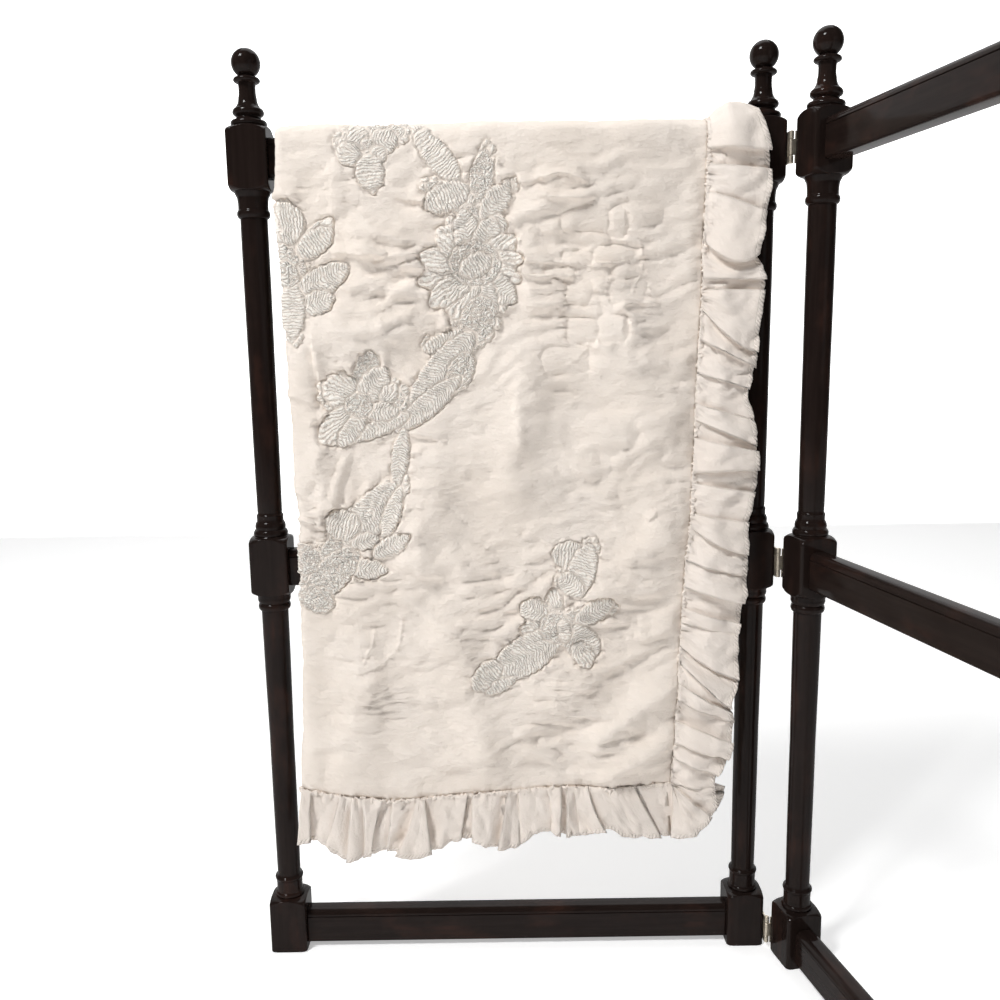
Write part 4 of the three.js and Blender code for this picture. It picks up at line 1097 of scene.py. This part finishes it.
def quilted_cotton_material():
    """White cotton whose sprays have stitched ribs and close dots, their tops paler by a painted highlight
    and the grooves between darker by painted shade.
    """
    colours = ((0.86, 0.77, 0.685), (0.90, 0.815, 0.735))
    scales = ((1.15, 0.75, 1.0), (0.11, 0.2, 1.0), (0.012, 0.012, 1.0))
    material, shader = new_material("quilted_cotton", **COTTON_SHEEN)
    flat = attribute(material, "flat")
    colour, roughness, height = cotton_weave(flat, colours, *scales, 0.0018)
    stitch = attribute(material, "stitch")
    phase, ribs, dots = (vector_part(stitch, axis) for axis in range(3))
    tremble = noise(flat, (0.3, 0.3, 1.0), 1.0)
    rib = abs(((phase + 1.4 * (tremble - 0.5)) * math.pi).sine())
    broken = noise(flat, (0.2, 0.2, 1.0), 2.0)
    ribs = ribs * (0.55 + 0.45 * broken.between(0.38, 0.55))
    worm = abs(noise(flat, (0.27, 0.3, 1.0), 1.0) - 0.5)
    # Painted highlight: the tops of the ribs and dots are coloured paler. Painted shade: the grooves between
    # them are coloured browner and darker.
    painted_stitch_highlight = rib.between(0.35, 1.0) * ribs + worm.between(0.03, 0.12) * dots
    painted_stitch_shade = (1 - rib) ** 3.5 * ribs + (1 - worm.between(0.0, 0.06)) * dots
    colour = colour_mix(painted_stitch_highlight, colour, (1.0, 0.955, 0.885))
    colour = colour_mix(0.58 * painted_stitch_shade, colour, (0.52, 0.44, 0.38))
    height = height + 0.0010 * rib * ribs + 0.0085 * worm * (dots + 0.3 * ribs)
    finish_surface(shader, colour, roughness, height)
    return material


quilt_points, quilt_faces, quilt_attributes = quilt_mesh()
quilt = make_piece("quilted_body", quilt_points, quilt_faces, stand, quilt_attributes)
finish_piece(quilt, quilted_cotton_material(), stand, "coverlet_body")


# The ruffle
# A single strip of plain cotton, about half as long again as the edge it is sewn to, gathered into the
# seam all round the body and pressed into loose uneven folds. Its hem is rolled and stitched.

RUFFLE_WIDTH = 55.0
RUFFLE_THICKNESS = 0.7
RUFFLE_LIFT = 9.0
RUFFLE_TOP_LIFT = 2.0
ROOM_BESIDE_POST = 33.0
CROWDED_LENGTH = 60.0
BACK_CROWDING = 4.0
LEFT_FLARE = 0.1
LEFT_FLARE_X = (-189.5, -221.5)
CORNER_RUN = 80.0
INSIDE_SEAM = 1.2
SEAM_STEP = 2.5
TABLE_BLUR = 3.0
LAST_SHOWN_X = -221.0

# The hem: x and height along the bottom, height and x along the right side, and its reach round the
# lower right corner by the angle from straight down.
BOTTOM_HEM = [
    (-225, 131.5), (-201, 133.8), (-177, 114), (-154, 117.4), (-130, 123), (-104, 116.5), (-78, 124.6),
    (-51, 136), (-14, 121.3), (3, 124), (24, 141), (67, 134.5), (97, 145.4), (112, 134), (161, 133),
]
SIDE_HEM = [
    (198, 203), (224, 216), (262, 220.7), (283, 213.5), (300, 223), (344, 223.2), (403, 231), (458, 229),
    (486, 235.3), (514, 239), (560, 234.5), (584, 226.5), (614, 234.5), (645, 235), (693, 241),
    (717, 232.5), (752, 240), (783, 244.3), (812, 242), (832, 236.5),
]
CORNER_HEM = [(0, 56), (22, 56), (45, 51), (67, 49), (83, 43)]

# The folds seen on the front: place at the seam, place at the hem, which side lies on top, height, how
# much of the way to the hem the fold lasts, and its bow, the shift of its middle off a straight line.
# Places are heights on the right side, upper side first, and x along the bottom, right side first. At
# the bend and at the corner they are lengths of seam.
SIDE_FOLDS = [
    (813, 808, "before", 3.4, 1.0, 0), (798, 792, "after", 2.6, 1.0, 0), (775, 755, "after", 1.8, 1.0, 0),
    (731, 716, "before", 4.2, 1.0, -14), (694, 693, "before", 2.6, 1.0, 0),
    (685, 683, "after", 2.6, 1.0, 0), (668, 626, "before", 2.4, 1.0, -8),
    (638, 611, "before", 2.4, 1.0, 0), (606, 591, "before", 1.6, 1.0, 0),
    (578, 562, "after", 1.6, 0.55, 0), (562, 537, "before", 2.0, 1.0, 0),
    (545, 532, "after", 3.4, 1.0, 0), (510, 514, "before", 3.6, 1.0, 2), (501, 492, "after", 1.8, 1.0, 0),
    (471, 463, "after", 1.4, 1.0, 0), (458, 431, "before", 2.2, 1.0, -4),
    (423, 408, "before", 1.5, 1.0, 0), (397, 382, "before", 3.6, 1.0, 0),
    (376, 361, "after", 2.0, 1.0, 0), (360, 349, "before", 1.4, 0.5, 0),
    (336, 305, "before", 2.2, 1.0, -4), (320, 278, "before", 3.0, 1.0, -3),
    (300, 272, "after", 1.6, 1.0, 0), (282, 259, "before", 1.4, 1.0, 0), (260, 241, "after", 2.4, 1.0, 0),
    (237, 221, "before", 1.9, 1.0, 0), (220, 203, "before", 2.6, 1.0, 0),
]
BOTTOM_FOLDS = [
    (122, 150, "after", 1.8, 1.0, 0), (75, 93, "after", 2.2, 1.0, -2), (60, 66, "before", 1.2, 0.5, 0),
    (53, 52, "before", 2.5, 1.0, 0), (48, 46, "after", 2.5, 1.0, 0), (32, 36, "before", 1.4, 0.55, 3),
    (3, 5, "before", 1.2, 0.4, 0), (-9, -19, "before", 2.6, 1.0, 1), (-44, -45, "before", 3.0, 1.0, 0),
    (-48, -56, "after", 1.6, 1.0, 0), (-92, -86, "after", 3.4, 1.0, 0),
    (-102, -124, "before", 3.4, 1.0, 3), (-126, -133, "before", 1.8, 1.0, 0),
    (-135, -149, "after", 2.0, 1.0, -2), (-158, -157, "before", 1.7, 1.0, 3),
    (-167, -174, "before", 2.6, 1.0, 0), (-180, -196, "before", 1.8, 0.6, 0),
    (-209, -208, "after", 2.2, 1.0, 0),
]
CORNER_FOLDS = [(34, 34, "after", 2.0, 1.0, 0), (77, 82, "before", 1.8, 1.0, 0)]
BEND_FOLDS = [(6, 4, "before", 1.0, 0.7, 0)]


class SeamRing:
    """The seam once round the body's edge, with the way the ruffle leaves it, by distance along it. It
    starts at the front's lower right corner and runs left along the bottom, round the fold and so on."""

    def __init__(self):
        self.q, self.rows, self.parts = [], [], {}
        self.length = 0.0
        across = np.arange(0, CLOTH_ACROSS, SEAM_STEP)
        along = np.arange(0, CLOTH_ALONG, SEAM_STEP)
        self.bottom("bottom_front", across, 0.0)
        self.corner("inner_front_corner", CLOTH_ACROSS, 0.0, True)
        self.side("side_inner", along, CLOTH_ACROSS)
        self.corner("inner_back_corner", CLOTH_ACROSS, CLOTH_ALONG, False)
        self.bottom("bottom_back", CLOTH_ACROSS - across, CLOTH_ALONG)
        self.corner("outer_back_corner", 0.0, CLOTH_ALONG, True)
        self.side("side_outer", CLOTH_ALONG - along, 0.0)
        self.corner("outer_front_corner", 0.0, 0.0, False)
        self.q = np.concatenate(self.q + [[self.length]])
        self.rows = np.concatenate(self.rows + [self.rows[0][:1]])

    def add(self, name, q, directions, along, reach, lift):
        point, outward, right_side = directions
        end = self.length + q[-1] + SEAM_STEP
        self.parts[name] = (self.length, end, point)
        self.q.append(self.length + q)
        sizes = np.stack([reach, lift], axis=-1)
        self.rows.append(np.concatenate([point, along, outward, right_side, sizes], axis=1))
        self.length = end

    def bottom(self, name, a, v):
        directions = cloth_point(a, v)
        point = directions[0]
        along = np.tile([0.0, 0.0, -1.0], (len(a), 1))
        reach = np.full(len(a), RUFFLE_WIDTH)
        if name == "bottom_front":
            along[:, 0] = -LEFT_FLARE * smooth_step(*LEFT_FLARE_X, point[:, 0])
            reach = point[:, 2] - read_table(BOTTOM_HEM, point[:, 0], TABLE_BLUR)
        self.add(name, np.abs(a - a[0]), directions, along, reach, np.full(len(a), RUFFLE_LIFT / 2))

    def side(self, name, v, a):
        directions = cloth_point(a, v)
        point, outward, _ = directions
        hem = read_table(SIDE_HEM, point[:, 2], TABLE_BLUR) - point[:, 0]
        full = np.where(outward[:, 1] < 0, hem, RUFFLE_WIDTH - BACK_CROWDING)
        sine = np.clip(outward[:, 2], 0, 1)
        opened = np.sqrt(1 - sine**2)
        if name == "side_inner":
            opened = smooth_step(BEND_CENTRE_Z, BEND_CENTRE_Z - CROWDED_LENGTH, point[:, 2])
        reach = ROOM_BESIDE_POST + (full - ROOM_BESIDE_POST) * opened
        along = np.tile([1.0, 0.0, 0.0], (len(v), 1))
        self.add(name, np.abs(v - v[0]), directions, along, reach, RUFFLE_LIFT + RUFFLE_TOP_LIFT * sine)

    def corner(self, name, a, v, to_side):
        q = np.arange(0, CORNER_RUN, SEAM_STEP)
        turned = q / CORNER_RUN if to_side else 1 - q / CORNER_RUN
        angle = turned * math.pi / 2
        along = np.stack([np.sin(angle), np.zeros_like(q), -np.cos(angle)], axis=-1)
        reach = np.full_like(q, RUFFLE_WIDTH)
        if name == "outer_front_corner":
            reach = read_table(CORNER_HEM, np.degrees(angle), TABLE_BLUR)
        directions = cloth_point(np.full_like(q, a), np.full_like(q, v))
        self.add(name, q, directions, along, reach, RUFFLE_LIFT / 2 * (1 + turned))

    def at(self, q):
        """Point, way along the ruffle, way outward, the quilt's right side, reach and lift at q."""
        q = np.asarray(q) % self.length
        values = np.stack([np.interp(q, self.q, column) for column in self.rows.T], axis=-1)
        *directions, sizes = np.split(values, (3, 6, 9, 12), axis=-1)
        return *directions, sizes[..., 0], sizes[..., 1]

    def place(self, part, axis, value):
        """The distance along the ring where a part's point has that coordinate. Past its end it runs on."""
        start, _, point = self.parts[part]
        run = np.arange(len(point)) * SEAM_STEP
        order = point[:, axis]
        keep = (order < BEND_CENTRE_Z) & (point[:, 1] < 0) if axis == 2 else run < LAYER_WIDTH
        run, order = run[keep], order[keep]
        slope = (run[-1] - run[0]) / (order[-1] - order[0])
        inside = np.interp(-value, -order, run)
        beyond = min(value - order.min(), 0) + max(value - order.max(), 0)
        return start + inside + beyond * slope


HIDDEN_FOLDS_START = 22
HIDDEN_FOLDS_END = 14
HIDDEN_GAPS = (13, 31)
INNER_MARGIN = 395


def ruffle_folds(ring):
    """All folds in order: seam place, hem place, top side, height, length and bow along the ring."""
    bend_q = ring.parts["side_outer"][0] + BACK_DROP
    corner_q = ring.parts["outer_front_corner"][0]
    shown = (
        (BOTTOM_FOLDS, -1, lambda x: ring.place("bottom_front", 0, x)),
        (SIDE_FOLDS, -1, lambda z: ring.place("side_outer", 2, z)),
        (BEND_FOLDS, 1, lambda run: bend_q + run),
        (CORNER_FOLDS, 1, lambda run: corner_q + run),
    )
    folds = []
    for rows, way, place in shown:
        for seam, hem, top, height, lasts, bow in rows:
            folds.append((place(seam), place(hem), top, height, lasts, way * bow))
    inner_from = ring.parts["inner_front_corner"][0] - INNER_MARGIN
    inner_to = ring.parts["bottom_back"][0] + INNER_MARGIN
    spot = ring.place("bottom_front", 0, LAST_SHOWN_X) + HIDDEN_FOLDS_START
    while spot < bend_q - HIDDEN_FOLDS_END:
        slant = random.uniform(-8, 8)
        top = "before" if random.random() < 0.6 else "after"
        height = random.uniform(1.2, 2.2) if inner_from < spot < inner_to else random.uniform(1.6, 3.4)
        lasts = random.choice([1.0, 1.0, 0.6])
        folds.append((spot, spot + slant, top, height, lasts, random.uniform(-3, 3)))
        spot += random.uniform(*HIDDEN_GAPS)
    return sorted(folds)


SHARE_ROWS = np.concatenate([[0.0, 0.03, 0.07], np.linspace(0.12, 0.94, 15), [0.97, 1.0]])
FOLD_DEPTH = 6.0
FOLD_RISE = 2.8
SHORTEST_GAP = 2.6
FINE_COLUMN_GAP = 2.6
COARSE_COLUMN_GAP = 6.5
# A fold's cloth from its line back under itself: share of its depth, and share of its height.
UNDER_FOLD = ((0.0, 0.0), (0.5, 0.24), (1.0, 0.46), (0.5, 0.7), (0.0, 1.0))


def shown_stretch(ring, before_bend, past_corner):
    """Where the ruffle that shows begins, some way before the bend, and ends, some way past the corner."""
    bend_q = ring.parts["side_outer"][0] + BACK_DROP
    return bend_q - before_bend, ring.place("bottom_front", 0, LAST_SHOWN_X) + past_corner


def ruffle_columns(ring):
    """The ruffle's columns at each share of the width: distance along the seam, level over it, and the
    distance along the seam that their crumples follow."""
    t = SHARE_ROWS

    def spread(lasts):
        """How far a fold is open at each share of the width, until it fades out."""
        fading = 1.0 if lasts >= 1.0 else 1 - smooth_step(lasts - 0.2, lasts + 0.15, t)
        return (0.35 + 0.65 * smooth_step(0.0, 0.3, t)) * fading

    folds = ruffle_folds(ring)
    lines = np.array([seam + (hem - seam) * t + 4 * bow * t * (1 - t) for seam, hem, _, _, _, bow in folds])
    for k in range(1, len(lines)):
        lines[k] = np.maximum(lines[k], lines[k - 1] + SHORTEST_GAP)
    lines = np.concatenate([lines[-1:] - ring.length, lines, lines[:1] + ring.length])
    fine_from, fine_to = shown_stretch(ring, 20, 12)
    columns, anchors = [], []
    for k, (_, _, top, height, lasts, _) in enumerate(folds):
        before, line, after = lines[k : k + 3]
        level = FOLD_RISE * height * spread(lasts)
        room = line - before if top == "before" else after - line
        depth = np.minimum(FOLD_DEPTH, 0.42 * room) * spread(lasts)
        if top == "after":
            way, spots = 1, UNDER_FOLD
        else:
            way, spots = -1, UNDER_FOLD[::-1]
        for away, share in spots:
            columns.append((line + way * depth * away, level * share))
            anchors.append(line)
        _, _, next_top, next_height, next_lasts, _ = folds[(k + 1) % len(folds)]
        left = level * (top == "after")
        right = FOLD_RISE * next_height * spread(next_lasts) * (next_top == "before")
        gap = float(np.mean(after - line))
        is_fine = line[0] > fine_from or line[0] < fine_to
        count = max(2, math.ceil(gap / (FINE_COLUMN_GAP if is_fine else COARSE_COLUMN_GAP)))
        belly = random.uniform(-1.4, 4.2) * min(1.0, gap / 20)
        for step in range(1, count):
            f = step / count
            eased = 0.5 * f + 0.5 * f * f * (3 - 2 * f)
            between = left + (right - left) * eased + belly * math.sin(math.pi * f) * t
            columns.append((line + f * (after - line), between))
            anchors.append(line + smooth_step(0.12, 0.88, f) * (after - line))
    places, levels = np.array(columns).transpose(1, 0, 2)
    return places, levels, np.array(anchors)


def ruffle_level(ring, places, levels, anchors, outward):
    """The folds' level with the gathers beside the seam, the crumples between folds, and how they calm."""
    t = SHARE_ROWS[None, :]
    down = t * RUFFLE_WIDTH
    tufts = random.uniform(-1.2, 2.6, len(places))[:, None]
    gathers = np.abs(waves(anchors / 6.5 + 0.6 * t, t * 2.5 + anchors / 40, 21))
    level = levels + tufts * np.exp(-down / 6.5)
    level = level + 3.4 * t * waves(anchors / 27, t * 1.3 + 0 * places, 12)
    level = level + 8.0 * t * (0.4 - np.abs(waves(anchors / 21 + 1.2 * t, t * 1.9 + anchors / 70, 18)))
    level = level + 7.0 * gathers * np.exp(-(((down - 4.0) / 9.0) ** 2))
    level = level + (0.4 + 0.9 * t) * waves(anchors / 9, t * 4 + anchors / 30, 13)
    over_bend = np.clip(outward[..., 2], 0, 1)
    ripples = waves(places / 12 + 1.6 * t, 1.4 * t + 0 * places, 26)
    level = np.maximum(level, -1.2) * (1 - 0.65 * over_bend)
    level = level + 3.4 * over_bend * smooth_step(0.0, 0.4, t) * ripples
    inner_from, inner_to = ring.parts["inner_front_corner"][0], ring.parts["bottom_back"][0]
    inner = smooth_step(inner_from, inner_from + 60, places)
    inner = inner * (1 - smooth_step(inner_to - 60, inner_to, places))
    return level * (1 - 0.6 * inner)


def ruffle_mesh(ring):
    places, levels, anchors = ruffle_columns(ring)
    t = SHARE_ROWS[None, :]
    point, along, outward, _, reach, lift = ring.at(places)
    level = ruffle_level(ring, places, levels, anchors, outward)
    reach = reach * (1 + 0.012 * waves(places / 11, 0 * places, 14)) - 0.5 * (levels < 0.4) * t
    crest = 0.5 + 0.25 * waves(anchors / 34, 0 * anchors, 23)
    rise = lift * (1.4 * smooth_step(0.0, crest, t) - 0.4 * smooth_step(0.2, 1.0, t))
    travel = -INSIDE_SEAM + t * (reach + INSIDE_SEAM)
    sheet = point + along * travel[..., None] + outward * (rise + level)[..., None]
    across = np.roll(sheet, -1, axis=0) - np.roll(sheet, 1, axis=0)
    normal = np.cross(across, np.gradient(sheet, axis=1))
    normal /= np.linalg.norm(normal, axis=-1, keepdims=True) + 1e-9
    half = normal * RUFFLE_THICKNESS / 2
    points = np.concatenate([(sheet + half).reshape(-1, 3), (sheet - half).reshape(-1, 3)])
    over = np.pad(np.arange(places.size).reshape(places.shape), ((0, 1), (0, 0)), mode="wrap")
    under = over + places.size
    faces = grid_faces(over.T) + grid_faces(under)
    faces += grid_faces(np.stack([over[:, 0], under[:, 0]], axis=1))
    faces += grid_faces(np.stack([over[:, -1], under[:, -1]]))
    steps = np.abs(np.diff(places[:, -1], prepend=places[0, -1]))
    cloth_run = np.cumsum(steps)[:, None] + 0 * t
    flat = np.stack([cloth_run, travel, 0 * travel], axis=-1).reshape(-1, 3)
    from_hem = ((1 - t) * reach).reshape(-1)
    return points, faces, {"flat": np.tile(flat, (2, 1)), "hem": np.tile(from_hem, 2)}


HEM_DEPTH = 4.4
HEM_STITCH_PITCH = 3.7


def ruffle_cotton_painted_shade_material():
    # The ruffle's cotton is coloured darker than the quilt's, as painted shade for the shade among its
    # folds.
    colours = ((0.815, 0.733, 0.662), (0.86, 0.78, 0.71))
    scales = ((1.3, 0.9, 1.0), (0.16, 0.1, 1.0), (0.02, 0.02, 1.0))
    material, shader = new_material("ruffle_cotton", **COTTON_SHEEN)
    flat = attribute(material, "flat")
    colour, roughness, height = cotton_weave(flat, colours, *scales, 0.0016)
    from_hem = attribute(material, "hem", "Fac")
    stitches = ((vector_part(flat, 0) + 0.7 * from_hem) * (2 * math.pi / HEM_STITCH_PITCH)).sine()
    edge = from_hem - HEM_DEPTH
    groove = math.e ** (edge * edge * -2.5)
    height = height + 0.0004 * stitches * (1 - from_hem.between(3.2, 4.6)) - 0.0003 * groove
    finish_surface(shader, colour, roughness, height)
    return material


seam_ring = SeamRing()
ruffle_points, ruffle_faces, ruffle_attributes = ruffle_mesh(seam_ring)
ruffle = make_piece("gathered_ruffle", ruffle_points, ruffle_faces, stand, ruffle_attributes)
ruffle_cotton = ruffle_cotton_painted_shade_material()
finish_piece(ruffle, ruffle_cotton, stand, "coverlet_ruffle")


# The gathered heading
# Where the ruffle is sewn on, its tiny gathers stand up along the seam as a thin crumpled cord.

HEADING_SIDES = 8
HEADING_RADIUS = 1.8
HEADING_LIFT = 2.0
HEADING_FINE_STEP = 0.9
HEADING_COARSE_STEP = 3.0
HEADING_CORNER_STEP = 12.0
HEADING_LAST_GAP = 0.4
FAR_FROM_HEM = 30.0


def heading_mesh(ring):
    corners = [ring.parts[name][:2] for name in ring.parts if name.endswith("corner")]
    fine_from, fine_to = shown_stretch(ring, 10, 8)
    q, spots = 0.0, []
    while q < ring.length - HEADING_LAST_GAP:
        spots.append(q)
        if any(start <= q < end for start, end in corners):
            q += HEADING_CORNER_STEP
        elif q > fine_from or q < fine_to:
            q += HEADING_FINE_STEP
        else:
            q += HEADING_COARSE_STEP
    spots = np.array(spots)
    point, along, _, right_side, _, _ = ring.at(spots)
    angles = 2 * math.pi * np.arange(HEADING_SIDES) / HEADING_SIDES
    side, top = np.cos(angles)[None, :], np.sin(angles)[None, :]
    lumps = waves(spots[:, None] / 2.1 + 0.5 * side, side * 0.8, 15)
    lumps = lumps + 0.6 * waves(spots[:, None] / 4.7, top, 16)
    radius = HEADING_RADIUS * (1 + 1.1 * lumps)
    drift = 1.2 * waves(spots / 6.0, 0 * spots, 17)[:, None]
    offsets = along[:, None, :] * (side * radius * 1.25 + drift + 1.3)[..., None]
    offsets = offsets + right_side[:, None, :] * (top * radius + HEADING_LIFT)[..., None]
    points = (point[:, None, :] + offsets).reshape(-1, 3)
    numbers = np.arange(len(points)).reshape(len(spots), HEADING_SIDES)
    faces = grid_faces(np.pad(numbers, ((0, 1), (0, 1)), mode="wrap"))
    run = np.repeat(spots, HEADING_SIDES)
    flat = np.stack([run, np.tile(angles, len(spots)) * 1.5, 0 * run], axis=-1)
    return points, faces, {"flat": flat, "hem": np.full(len(run), FAR_FROM_HEM)}


heading_points, heading_faces, heading_attributes = heading_mesh(seam_ring)
heading = make_piece("gathered_heading", heading_points, heading_faces, stand, heading_attributes)
# The heading shares the ruffle's cotton and its painted shade.
heading.data.materials.append(ruffle_cotton)
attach(heading, "stand")


# The studio
# A plain pale floor and a white backdrop that both glow faintly, one soft light above on the left, a
# weak one on the right, one over the floor, and an even dim surround.

STUDIO_HALF_WIDTH = 6.0
FLOOR_FRONT = -3.5
BACKDROP_AT = 2.6
BACKDROP_HEIGHT = 4.0
SURROUND_STRENGTH = 0.08
WHITE = (1.0, 1.0, 1.0, 1.0)
OFF_WHITE = (0.93, 0.93, 0.93, 1.0)


def studio_surface(name, rows, glow):
    """A plain white surface, as wide as the studio, through rows of y and z in metres."""
    points = [(x, y, z) for y, z in rows for x in (-STUDIO_HALF_WIDTH, STUDIO_HALF_WIDTH)]
    mesh = bpy.data.meshes.new(name)
    mesh.from_pydata(points, [], [(0, 1, 3, 2)])
    material, shader = new_material(name, Roughness=0.9, Emission_Strength=glow)
    shader.inputs["Base Color"].default_value = OFF_WHITE
    shader.inputs["Emission Color"].default_value = WHITE
    mesh.materials.append(material)
    surface = bpy.data.objects.new(name, mesh)
    bpy.context.scene.collection.objects.link(surface)
    return surface


floor = studio_surface("studio_floor", [(FLOOR_FRONT, 0.0), (BACKDROP_AT, 0.0)], 0.4)
backdrop = studio_surface("studio_backdrop", [(BACKDROP_AT, -0.01), (BACKDROP_AT, BACKDROP_HEIGHT)], 1.0)
# The backdrop shows white, but it casts no light on the back of the cloth.
backdrop.visible_diffuse = False


def soft_light(name, place, target, size, power):
    light = bpy.data.lights.new(name, "AREA")
    light.size = size
    light.energy = power
    lamp = bpy.data.objects.new(name, light)
    lamp.location = place
    lamp.rotation_euler = (Vector(target) - Vector(place)).to_track_quat("-Z", "Y").to_euler()
    bpy.context.scene.collection.objects.link(lamp)


cloth_middle = stand.to_world([0.0, 0.0, 520.0])
soft_light("key_light", (-1.5, -1.2, 2.95), cloth_middle, 0.7, 83)
soft_light("fill_light", (1.5, -1.7, 1.1), cloth_middle, 1.2, 2)
soft_light("floor_light", (0.0, 1.6, 3.3), (0.0, 1.6, 0.0), 2.4, 52)

surround = bpy.data.worlds.new("white_surround")
surround.use_nodes = True
background = surround.node_tree.nodes["Background"]
background.inputs["Color"].default_value = WHITE
background.inputs["Strength"].default_value = SURROUND_STRENGTH
bpy.context.scene.world = surround

CAMERA_PLACE = (-9.98, -945.41, 633.38)
CAMERA_YAW = math.radians(-0.0535)
CAMERA_PITCH = math.radians(9.074)
CAMERA_ROLL = math.radians(-0.8816)
CAMERA_LENS = 34.243
forward = Vector((
    math.sin(CAMERA_YAW) * math.cos(CAMERA_PITCH),
    math.cos(CAMERA_YAW) * math.cos(CAMERA_PITCH),
    -math.sin(CAMERA_PITCH),
))
level_right = Vector((math.cos(CAMERA_YAW), -math.sin(CAMERA_YAW), 0.0))
level_up = level_right.cross(forward)
right = math.cos(CAMERA_ROLL) * level_right + math.sin(CAMERA_ROLL) * level_up
up = -math.sin(CAMERA_ROLL) * level_right + math.cos(CAMERA_ROLL) * level_up
camera_data = bpy.data.cameras.new("camera")
camera_data.lens = CAMERA_LENS
camera_data.sensor_width = 36.0
camera_data.clip_start = 0.01
camera = bpy.data.objects.new("camera", camera_data)
camera_turn = Matrix((right, up, -forward)).transposed().to_4x4()
camera.matrix_world = Matrix.Translation(stand.to_world(CAMERA_PLACE)) @ camera_turn
bpy.context.scene.collection.objects.link(camera)
bpy.context.scene.camera = camera
